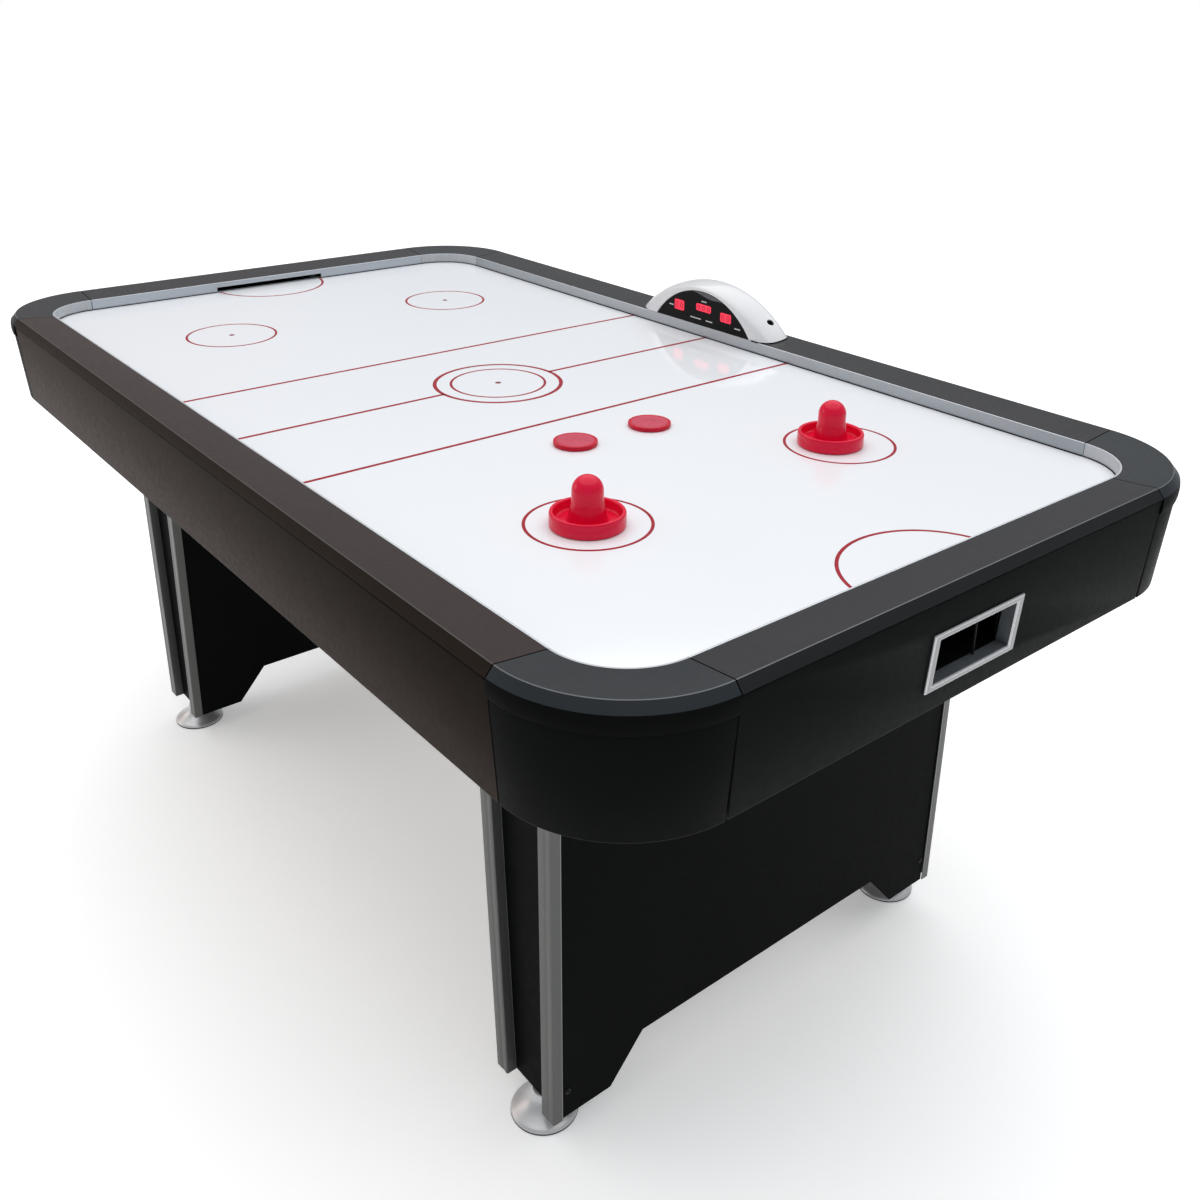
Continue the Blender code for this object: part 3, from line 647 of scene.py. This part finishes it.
def build_seams():
    """Dark backing behind each skirt joint, and a dark bead at the liners' foot, a painted shadow
    line.
    """
    middle = apron_r(APRON_LOW + 0.066)
    x, y = HALF_L + middle - 0.0100, HALF_W + middle - 0.0100
    spots = {
        "end": ((x - 0.0120, x - 0.0080), (CORNER_Y - 0.0140, CORNER_Y + 0.0140)),
        "side": ((CORNER_X - 0.0140, CORNER_X + 0.0140), (y - 0.0120, y - 0.0080)),
    }
    for sx, sy, word in CORNERS:
        for kind, (along, across) in spots.items():
            xs, ys = between(sx, *along), between(sy, *across)
            slab(f"joint_batten_{kind}_{word}", (xs[0], ys[0], APRON_LOW + 0.004),
                 (xs[1], ys[1], 0.8270), "seam", "corner_black", bevel=0.0006)
    for sy, word in SIDES:
        swept("side_liner_shadow_" + word, side_rings(LINER_SHADOW, sy, RAIL_REACH), "seam", "corner_black")
    for sx, sy, word in CORNERS:
        swept("corner_liner_shadow_" + word, corner_rings(LINER_SHADOW, sx, sy), "seam", "corner_black")
    for sx, word in ENDS:
        for sy, side in SIDES:
            rings = [[(sx * (HALF_L + r), y, z) for r, z in LINER_SHADOW]
                     for y in (sy * (GOAL_HALF + 0.0005), sy * END_REACH)]
            swept(f"end_liner_shadow_{word}_{side}", rings, "seam", "corner_black")


def build_mouth_lining(sx, word):
    """The painted cut edge of the skirt round the return opening, and the rib that divides it."""
    face = HALF_L + apron_r(BEZEL_Z)

    def ring(deep, half_y, half_z):
        corners = ((-half_y, -half_z), (half_y, -half_z), (half_y, half_z), (-half_y, half_z))
        return [(sx * (face + deep + APRON_LEAN * z), y, MOUTH_Z + z) for y, z in corners]

    inner, outer = (0.0727, 0.0302), (0.0733, 0.0308)
    around = ((0.0005, inner), (0.0005, outer), (-0.0160, outer), (-0.0160, inner))
    swept("mouth_lining_" + word, [ring(deep, *half) for deep, half in around], "mdf_edge",
          "apron_black", loop=True)
    xs = between(sx, face - 0.0135, face - 0.0158)
    slab("return_rib_" + word, (xs[0], 0.0215, MOUTH_Z - 0.0300), (xs[1], 0.0233, MOUTH_Z + 0.0300),
         "end_band", "box_black", bevel=0.0003)


def build_bezel(sx, word):
    """The return opening's frame: a flat moulding whose edge bevels are painted lighter, a painted
    highlight.
    """
    oy, oz, iy, iz = 0.0843, 0.0388, 0.0727, 0.0300
    low, high = 0.0013, 0.0030  # the bevels lie between these heights
    levels = (
        (iy, iz, 0.0000), (oy, oz, 0.0000), (oy, oz, low), (oy - 0.0008, oz - 0.0008, 0.0024),
        (oy - 0.0020, oz - 0.0020, high), (iy + 0.0024, iz + 0.0024, high),
        (iy + 0.0010, iz + 0.0010, 0.0023), (iy, iz, 0.0010),
    )
    bm = bmesh.new()
    loft(bm, [[(out, y, z) for y, z in rounded(hy, hz, 0.0012 if out < high else 0.0008)]
              for hy, hz, out in levels], loop=True)
    for face in bm.faces:
        face.material_index = int(low < face.calc_center_median().x < high - 0.00001)
    tilt = Matrix.Rotation(math.atan(APRON_LEAN), 3, "Y")
    at = Vector((HALF_L + apron_r(BEZEL_Z) + 0.0003, 0, BEZEL_Z))
    bmesh.ops.rotate(bm, verts=bm.verts, cent=(0, 0, 0), matrix=tilt)
    bmesh.ops.translate(bm, verts=bm.verts, vec=at)
    bmesh.ops.scale(bm, verts=bm.verts, vec=(sx, 1, 1))
    emit("bezel_" + word, bm, ("bezel", "bezel_edge_highlight"), "bezel_silver", ["return_bezel_" + word],
         smooth=25)


# ---------------------------------------------------------------- rink markings


def ribbon(name, middle, width):
    """A printed line: a thin band that follows points on the board."""
    rings = []
    for i, (x, y) in enumerate(middle):
        ax, ay = middle[max(i - 1, 0)]
        bx, by = middle[min(i + 1, len(middle) - 1)]
        length = math.hypot(bx - ax, by - ay)
        nx, ny = -(by - ay) / length * width / 2, (bx - ax) / length * width / 2
        rings.append([(x - nx, y - ny, INK_LOW), (x + nx, y + ny, INK_LOW),
                      (x + nx, y + ny, INK_HIGH), (x - nx, y - ny, INK_HIGH)])
    swept(name, rings, "line", "deck_white")


def round_mark(name, x, y, a, b, steps, mat):
    """A printed ring between two radii, or a dot if the first is 0."""
    outline = ((a, INK_LOW), (b, INK_LOW), (b, INK_HIGH), (a, INK_HIGH))
    turned(name, outline, Matrix.Translation((x, y, 0)), steps, mat, "deck_white")


def ring_mark(name, x, y, r, width):
    round_mark(name, x, y, r - width / 2, r + width / 2, 128, "line")


def dot_mark(name, x, y, r):
    round_mark(name, x, y, 0, r, 32, "dot")


def build_markings():
    reach, gap = HALF_W - 0.0695, CENTRE_OUT + 0.0001
    for sx, end in ENDS:
        ribbon("line_" + end, [(sx * ZONE_X, -reach), (sx * ZONE_X, reach)], ACROSS)
    ribbon("line_centre_front", [(0, -reach), (0, -gap)], ACROSS)
    ribbon("line_centre_back", [(0, gap), (0, reach)], ACROSS)
    ring_mark("circle_centre_outer", 0, 0, CENTRE_OUT, ACROSS)
    ring_mark("circle_centre_inner", 0, 0, CENTRE_IN, LINE)
    dot_mark("dot_centre", 0, 0, 0.0052)
    edge = HALF_L - 0.0692
    widest = math.acos((CREASE_X - edge) / CREASE_R)
    turns = [widest * (2 * step / 64 - 1) for step in range(65)]
    for sx, end in ENDS:
        for sy, side in SIDES:
            ring_mark(f"circle_{end}_{side}", sx * SPOT_X, sy * SPOT_Y, SPOT_R, LINE)
            dot_mark(f"dot_{end}_{side}", sx * SPOT_X, sy * SPOT_Y, 0.0050)
        points = [(sx * (CREASE_X - CREASE_R * math.cos(a)), CREASE_R * math.sin(a))
                  for a in turns]
        ribbon("crease_" + end, points, CREASE)


# ---------------------------------------------------------------- pedestals


def strip_outline(x0, x1, y0, y1, r=0.0020, wall=0.002):
    """The corner profile's section: a channel with a rounded corner, a lip with a painted highlight
    and a shallow cove. It returns the outline and each segment's material index."""
    wide = x1 - x0
    small = r / 2
    cove = []
    for step in range(13):
        t = step / 12
        cove.append((x1 - wide * (0.18 + 0.42 * t), y1 - 0.0007 * math.sin(math.pi * t) ** 2))
    outer = [(x1, y0), (x1, y0 + 0.0012)] + arc(x1 - r, y1 - r, r, 0, 90, 6) + cove
    outer += arc(x0 + small, y1 - small, small, 90, 180, 4) + [(x0, y0)]
    inner = [(x0 + wall, y0), (x0 + wall, y1 - wall), (x1 - wall, y1 - wall), (x1 - wall, y0)]
    return outer + inner, [1] + [0] * (len(outer) + len(inner) - 1)


def build_strips():
    for sx, sy, word in CORNERS:
        for kind in ("outer", "inner"):
            name = f"{kind}_strip_{word}"
            points = [v.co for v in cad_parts[name].data.vertices]
            rings = []
            for level in (LEG_LOW, LEG_TOP):
                near = [p for p in points if abs(p.z - level) < 1e-4]
                xs = sorted(abs(p.x) for p in near)
                ys = sorted(abs(p.y) for p in near)
                section, kinds = strip_outline(xs[0], xs[-1], ys[0], ys[-1])
                rings.append([(sx * x, sy * y, level) for x, y in section])
            bm = bmesh.new()
            loft(bm, rings, kinds=kinds)
            for face in bm.faces:
                if abs(face.normal.z) > 0.9:
                    face.material_index = 0
            emit(f"{kind}_profile_{word}", bm, ("strip", "strip_edge_highlight"), "strip_aluminium", [name],
                 smooth=30, bevel=0.0003)


def build_feet():
    """Each levelling foot's bell and threaded stud, and the rubber pad under it."""
    neck = 0.0395
    for _, _, word in CORNERS:
        lo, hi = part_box("foot_" + word)
        at, r = upright(lo, hi), (hi.x - lo.x) / 2
        profile = [(0, 0.0022), (r - 0.0008, 0.0022), (r - 0.0002, 0.0034)]
        profile += curve_through([
            (r - 0.0004, 0.0046), (r - 0.0030, 0.0072), (r - 0.0096, 0.0118), (0.0300, 0.0180),
            (0.0232, 0.0250), (0.0192, 0.0320), (0.0172, 0.0375),
        ], 5)
        profile += [(0.0160, 0.0390), (0.0100, 0.0394), (0.0050, neck)]
        z = neck
        while z < hi.z - 0.0010:
            profile += [(0.0050, z + 0.0002), (0.0044, z + 0.0008)]
            z += 0.00125
        profile += [(0.0042, hi.z), (0, hi.z)]
        turned("foot_bell_" + word, profile, at, 64, "foot", "foot_silver", ["foot_" + word],
               body="foot_" + word, smooth=40)
        pad = [(0, 0.0), (r - 0.0012, 0.0), (r, 0.0010), (r, 0.0028), (r - 0.0016, 0.0028),
               (r - 0.0016, 0.0020), (0, 0.0020)]
        turned("foot_pad_" + word, pad, at, 64, "rubber", "foot_silver", body="foot_" + word,
               smooth=40)


def build_bolts():
    """A dark button-head bolt low on each outer panel, by each corner profile."""
    head = ((0, 0.0004), (0.0016, 0.0004), (0.0018, 0.0016), (0.0034, 0.0014),
            (0.0044, 0.0006), (0.0046, 0.0), (0, 0.0))
    for sx, sy, word in CORNERS:
        lo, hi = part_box("outer_panel_" + word.split("_")[0])
        face = hi.x if sx > 0 else lo.x
        turn = Matrix.Rotation(math.pi / 2 * sx, 4, "Y")
        at = Matrix.Translation((face + sx * 0.0002, sy * BOLT_Y, BOLT_Z)) @ turn
        turned("bolt_" + word, head, at, 24, "bolt", "panel_black", smooth=50)


# ---------------------------------------------------------------- scoring unit


def rail_top(y):
    """The back rail's top, which slopes up outwards."""
    return RAIL_SEAT_Z + (y - (HALF_W + RAIL_IN)) * RAIL_PITCH


def build_scorer():
    lo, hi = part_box("scorer_shell")
    y0, y1 = lo.y, hi.y
    keys = (  # y, half span, rise and centre of the cover's arch, from its front to its back
        (y0 + 0.0001, 0.1500, 0.0705, -0.0130), (y0 + 0.0020, 0.1585, 0.0722, -0.0145),
        (y0 + 0.0095, 0.1735, 0.0742, -0.0155), (y0 + 0.0230, 0.1830, 0.0757, -0.0180),
        (y0 + 0.0400, 0.1850, 0.0760, -0.0190), (y0 + 0.0520, 0.1830, 0.0745, -0.0190),
        (y1 - 0.0001, 0.1790, 0.0720, -0.0190),
    )
    sections = curve_through(keys, 4)
    bm = bmesh.new()
    rows = []
    for y, half, rise, centre in sections:
        base = rail_top(y) + 0.0004
        rows.append([bm.verts.new((x, y, z)) for x, z in arch(half, rise, centre, base, 96)])
    for one, two in zip(rows, rows[1:]):
        for i in range(96):
            bm.faces.new((one[i], one[i + 1], two[i + 1], two[i]))
    bm.faces.new(rows[0])
    bm.faces.new(rows[-1])
    bm.faces.new([row[0] for row in rows] + [row[-1] for row in reversed(rows)])
    shell = emit("scorer_cover", bm, "shell", "shell_white", ["scorer_shell"], smooth=38)
    low = rail_top(y0) - 0.0010
    bm = bmesh.new()
    prism_into(bm, arch(FACE_HALF, FACE_RISE, FACE_X, low, 96), y0 - 0.01, y0 + 0.0380)
    cut(shell, helper("scorer_mouth_cutter", bm))
    round_edges(shell, 0.0008, 3)
    build_face(y0 + 0.0011, low)
    build_button(shell)
    build_dark_strip(sections)


def build_dark_strip(sections):
    """A dark strip that shows under the foot of the cover at the near end."""
    rings = []
    for y, half, _, centre in sections[2:-2]:
        x0, x1 = 0.1240, centre + half + 0.0003
        z = rail_top(y)
        rings.append([(x0, y, z + 0.00015), (x1, y, z + 0.00015), (x1 - 0.0006, y, z + 0.0016),
                      (x0, y, z + 0.0016)])
    front = [(x, y - 0.0026, z) for x, y, z in rings[0]]
    swept("scorer_dark_strip", [front] + rings, "seam", "face_black")


def plate(name, outline, y0, y1, mats, nodes=(), **finish):
    """A flat piece of the display, between two depths."""
    bm = bmesh.new()
    prism_into(bm, outline, y0, y1)
    emit(name, bm, mats, "face_black", nodes, **finish)


def build_face(y, low):
    """The black display: its panel, lit windows, digits, accent and pale dashes."""
    floor = rail_top(y + 0.006) + 0.0004
    outline = [(x, z) for x, z in arch(FACE_HALF - 0.0004, FACE_RISE - 0.0004, FACE_X, low, 72)
               if z > floor + 0.0004]
    first, last = outline[0], outline[-1]
    points = [(first[0] + 0.0002, floor), *outline, (last[0] - 0.0002, floor)]
    plate("scorer_panel", points, y, y + 0.0054, "face", ["scorer_face"], bevel=0.0003)
    windows = (
        ("left", -0.0912, -0.0640, 0.8757, 0.8957, 2),
        ("middle", -0.0292, 0.0118, 0.8850, 0.8988, 3),
        ("right", 0.0382, 0.0670, 0.8762, 0.8936, 2),
    )
    for word, x0, x1, z0, z1, digits in windows:
        cx, cz = (x0 + x1) / 2, (z0 + z1) / 2
        loop = [(cx + a, cz + b) for a, b in rounded((x1 - x0) / 2, (z1 - z0) / 2, 0.0030)]
        plate("display_" + word, loop, y - 0.0005, y + 0.0001, "lamp", bevel=0.0002)
        wide = (x1 - x0) / digits
        for number in range(digits):
            build_digit(f"digit_{word}_{number}", x0 + wide * (number + 0.5), cz, wide * 0.26,
                        (z1 - z0) * 0.33, y - 0.0007)
    left, right = -0.0400, 0.0470
    edge = [(x, z) for x, z in arch(FACE_HALF - 0.0012, FACE_RISE - 0.0012, FACE_X, low, 96)
            if left < x < right]
    lower = curve_through([(left, edge[-1][1]), (-0.0250, 0.9182), (-0.0010, 0.9132),
                           (0.0150, 0.9115), (0.0340, 0.9124), (right, edge[0][1])], 8)
    plate("display_accent", edge[1:-1] + lower, y - 0.0004, y + 0.0001, "accent", bevel=0.0002)
    dashes = ((-0.1010, 0.8825, 0.0120), (-0.0080, 0.9045, 0.0140), (0.0850, 0.8705, 0.0150),
              (-0.0300, 0.8690, 0.0300), (0.0080, 0.8690, 0.0180))
    for number, (x, z, wide) in enumerate(dashes):
        slab(f"face_dash_{number}", (x - wide / 2, y - 0.0003, z - 0.0011),
             (x + wide / 2, y + 0.0001, z + 0.0011), "mark", "face_black")


def build_digit(name, x, z, half_x, half_z, y):
    """A plain bar-segment zero."""
    thick = 0.0015
    gap = thick * 1.2
    bars = [
        (x - half_x + gap, z + half_z - thick, x + half_x - gap, z + half_z),
        (x - half_x + gap, z - half_z, x + half_x - gap, z - half_z + thick),
        (x - half_x, z - half_z + gap, x - half_x + thick, z + half_z - gap),
        (x + half_x - thick, z - half_z + gap, x + half_x, z + half_z - gap),
    ]
    bm = bmesh.new()
    for x0, z0, x1, z1 in bars:
        box_into(bm, (x0, y, z0), (x1, y + 0.0004, z1))
    emit(name, bm, "digit", "face_black")


def build_button(shell):
    """The push button in its hole and ring, square to the cover's surface there."""
    lo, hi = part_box("scorer_button")
    hole = 0.0071
    axis = Vector((0.564, -0.103, 0.820)).normalized()
    at = Matrix.Translation((lo + hi) / 2) @ axis.to_track_quat("Z", "Y").to_matrix().to_4x4()
    bm = bmesh.new()
    lathe_into(bm, ((0, -0.012), (hole, -0.012), (hole, 0.012), (0, 0.012)), at, 40)
    cut(shell, helper("button_cutter", bm))
    ring = ((0.0050, -0.0040), (0.0070, -0.0040), (0.0070, 0.0006), (0.0067, 0.0010),
            (0.0052, 0.0010), (0.0050, 0.0007))
    turned("scorer_key_ring", ring, at, 40, "button", "button_black", smooth=40)
    key = [(0, -0.0045), (0.0047, -0.0045), (0.0047, 0.0028)]
    key += arc(0.0037, 0.0030, 0.0010, 0, 80, 4) + [(0.0020, 0.0043), (0, 0.0044)]
    turned("scorer_key", key, at, 40, "button", "button_black", ["scorer_button"],
           body="scorer_button", smooth=40)


# ---------------------------------------------------------------- loose pieces


def build_striker(word):
    """A striker's base with its rolled rim, and the knob, in one outline."""
    name = "striker_" + word
    lo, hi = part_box(name)
    profile = [(0, 0.0), (0.0466, 0.0), (0.0480, 0.0006), (0.0489, 0.0018)]
    profile += curve_through([(0.0489, 0.0018), (0.0490, 0.0060), (0.0489, 0.0120),
                              (0.0488, 0.0170), (0.0484, 0.0190), (0.0474, 0.0202),
                              (0.0461, 0.0205), (0.0447, 0.0202), (0.0437, 0.0192),
                              (0.0432, 0.0178), (0.0428, 0.0120), (0.0424, 0.0088),
                              (0.0412, 0.0072), (0.0395, 0.0066)], 3)[1:]
    profile += [(0.0290, 0.0066)]
    profile += curve_through([(0.0272, 0.0068), (0.0258, 0.0078), (0.0250, 0.0100),
                              (0.0240, 0.0170), (0.0227, 0.0240), (0.0213, 0.0290),
                              (0.0206, 0.0340), (0.0204, 0.0400), (0.0203, 0.0450)], 3)
    profile += arc(0, 0.0472, 0.0203, 4, 84, 16) + [(0, 0.0675)]
    turned("mallet_" + word, profile, upright(lo, hi, lo.z), 96, "striker", "striker_red",
           [name], body=name, smooth=40)


def build_puck(word):
    """A puck with a shallow disc sunk in its top and a raised middle."""
    name, rim = "puck_" + word, 0.0009
    lo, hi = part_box(name)
    r, t = (hi.x - lo.x) / 2, hi.z - lo.z
    at = upright(lo, hi, lo.z)
    profile = [(0, 0.0006), (r - 0.0080, 0.0006), (r - 0.0070, 0.0)]
    profile += arc(r - rim, rim, rim, -90, 0, 4) + arc(r - rim, t - rim, rim, 0, 90, 4)
    profile += [(r - 0.0048, t), (r - 0.0056, t - 0.0006), (r - 0.0066, t - 0.0007)]
    profile += [(0.0075, t - 0.0007), (0.0070, t - 0.0004), (0, t - 0.0004)]
    bm = bmesh.new()
    lathe_into(bm, profile, at, 96)
    # the top's faces take the painted highlight material
    for face in bm.faces:
        middle = face.calc_center_median() - at.translation
        if middle.z > t - 0.0008 and math.hypot(middle.x, middle.y) < r - 0.0040:
            face.material_index = 1
    emit("disc_" + word, bm, ("puck", "puck_top_highlight"), "puck_red", [name], body=name, smooth=40)


# ---------------------------------------------------------------- underside


def build_underside():
    """The blower's guard, and the blocks that tie the pedestals to the tray."""
    z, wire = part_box("blower_housing")[0].z, 0.0010
    bm = bmesh.new()
    for r in (0.0125, 0.0250, 0.0375, 0.0500):
        lathe_into(bm, arc(r, z - 0.0016, wire, 0, 315, 7), Matrix.Identity(4), 48)
    for number in range(3):
        turn = Matrix.Rotation(math.pi * number / 3, 4, "Z")
        rod = [[turn @ Vector((x, wire * math.cos(a), z - 0.0030 + wire * math.sin(a)))
                for a in [math.pi / 4 * k for k in range(8)]] for x in (-0.058, 0.058)]
        loft(bm, rod)
    emit("blower_guard", bm, "steel", "motor_steel")
    tray_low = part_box("air_plenum")[0].z
    for sx, end in ENDS:
        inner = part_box("inner_panel_" + end)
        top_x = min(abs(inner[0].x), abs(inner[1].x))
        xs = between(sx, top_x - 0.0005, top_x - 0.0285)
        for sy, side in SIDES:
            y0 = sy * 0.20
            slab(f"tie_block_{end}_{side}", (xs[0], y0 - 0.045, tray_low - 0.0300),
                 (xs[1], y0 + 0.045, tray_low - 0.0005), "tray", "tray_board", bevel=0.0010)


# ---------------------------------------------------------------- CAD nodes

KEPT = {"playfield": "field", "blower_housing": "housing", "fan_motor": "steel", "impeller": "fan"}


def dress_nodes():
    """Gives the CAD nodes that stay in view their materials."""
    for name, mat in KEPT.items():
        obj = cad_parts[name]
        obj.data.materials.clear()
        obj.data.materials.append(MAT[mat])


def soften(name, piece, mats, slot, radius):
    """A finer piece from a CAD board's shape, with its edges rounded as a foil or band leaves them.
    A second material goes on the faces that look up or down."""
    bm = bmesh.new()
    bm.from_mesh(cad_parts[name].data)
    bmesh.ops.remove_doubles(bm, verts=bm.verts, dist=0.00002)
    bmesh.ops.dissolve_limit(bm, angle_limit=0.01, verts=bm.verts, edges=bm.edges)
    for face in bm.faces:
        face.material_index = int(len(mats) > 1 and abs(face.normal.z) > 0.3)
    emit(piece, bm, mats, slot, [name], bevel=radius)


def build_boards():
    soften("air_plenum", "tray_body", ("tray",), "tray_board", 0.0010)
    for _, end in ENDS:
        soften("return_box_" + end, "catch_box_" + end, ("box",), "box_black", 0.0004)
        for kind in ("outer", "inner"):
            soften(f"{kind}_panel_{end}", f"{kind}_board_{end}", ("panel", "panel_edge"),
                   "panel_black", 0.0008)
        for _, side in SIDES:
            soften(f"side_board_{end}_{side}", f"cheek_{end}_{side}", ("panel",), "panel_black",
                   0.0006)


# ---------------------------------------------------------------- stage

WARM_WALL = (-0.95, -0.28, 0.14)  # the side that a warm wall lights from
FILL = 0.42  # strength of the world's light
FLOOR_HALF, FLOOR_STEPS, FLOOR_THICK = 40.0, 24, 0.02


def build_floor():
    rings = []
    for step in range(FLOOR_STEPS + 1):
        x = -FLOOR_HALF + 2 * FLOOR_HALF * step / FLOOR_STEPS
        rings.append([(x, -FLOOR_HALF, -FLOOR_THICK), (x, FLOOR_HALF, -FLOOR_THICK),
                      (x, FLOOR_HALF, 0.0), (x, -FLOOR_HALF, 0.0)])
    bm = bmesh.new()
    loft(bm, rings)
    floor = to_object("floor", bm)
    floor.data.materials.append(MAT["floor"])


def build_world():
    """A soft studio fill, warmer from one wall, with a white backdrop behind the floor."""
    world = bpy.data.worlds.new("studio")
    world.use_nodes = True
    tree = world.node_tree
    fill = tree.nodes["Background"]
    fill.inputs["Strength"].default_value = FILL
    toward = node(tree, "ShaderNodeVectorMath", operation="DOT_PRODUCT")
    link(tree, node(tree, "ShaderNodeTexCoord").outputs["Generated"], toward.inputs[0])
    toward.inputs[1].default_value = WARM_WALL
    stops = ((0.70, (0.90, 0.95, 1.0)), (0.98, (1.10, 0.93, 0.93)))
    link(tree, ramp(tree, toward.outputs["Value"], stops), fill.inputs["Color"])
    backdrop = node(tree, "ShaderNodeBackground")
    backdrop.inputs["Color"].default_value = (1.0, 1.0, 1.0, 1.0)
    mix = node(tree, "ShaderNodeMixShader")
    link(tree, node(tree, "ShaderNodeLightPath").outputs["Is Camera Ray"], mix.inputs["Fac"])
    link(tree, fill.outputs["Background"], mix.inputs[1])
    link(tree, backdrop.outputs["Background"], mix.inputs[2])
    link(tree, mix.outputs["Shader"], tree.nodes["World Output"].inputs["Surface"])
    bpy.context.scene.world = world


def build_lights():
    """A very wide, soft sun for the ceiling, and one warm wall on the far left."""
    sky = bpy.data.lights.new("ceiling", "SUN")
    sky.energy = 2.15
    sky.angle = math.radians(95)
    sky.color = (1.0, 0.99, 0.98)
    place("ceiling", sky).rotation_euler = (math.radians(-10), math.radians(-8), 0)
    wall = bpy.data.lights.new("left_wall", "AREA")
    wall.shape = "RECTANGLE"
    wall.size, wall.size_y = 2.8, 2.0
    wall.energy = 25
    wall.color = (1.0, 0.91, 0.82)
    at, target = Vector((-3.6, -3.4, 1.9)), Vector((-0.5, -0.2, 0.6))
    obj = place("left_wall", wall, at)
    obj.rotation_mode = "QUATERNION"
    obj.rotation_quaternion = (target - at).to_track_quat("-Z", "Y")


def build_camera():
    """The photograph's view: 50 degrees round from the front, 22 above the horizon."""
    right = Vector((0.6345, 0.7728, 0.0135)).normalized()
    back = Vector((0.7138, -0.5925, 0.3735)).normalized()
    up = back.cross(right).normalized()
    right = up.cross(back).normalized()
    data = bpy.data.cameras.new("camera")
    data.sensor_width = 36.0
    data.lens = 36.6
    data.shift_x, data.shift_y = -0.0209, -0.1017
    data.clip_start, data.clip_end = 0.05, 200.0
    obj = place("camera", data)
    matrix = Matrix((right, up, back)).transposed().to_4x4()
    matrix.translation = Vector((1.6613, -1.0961, 1.4617))
    obj.matrix_world = matrix
    bpy.context.scene.camera = obj


bpy.context.scene.view_settings.view_transform = "Standard"
build_camera()
build_floor()
build_world()
build_lights()
dress_nodes()
build_rails()
build_corners()
build_aprons()
build_seams()
build_markings()
build_strips()
build_feet()
build_bolts()
build_scorer()
for side in ("front", "back"):
    build_striker(side)
    build_puck(side)
build_boards()
build_underside()
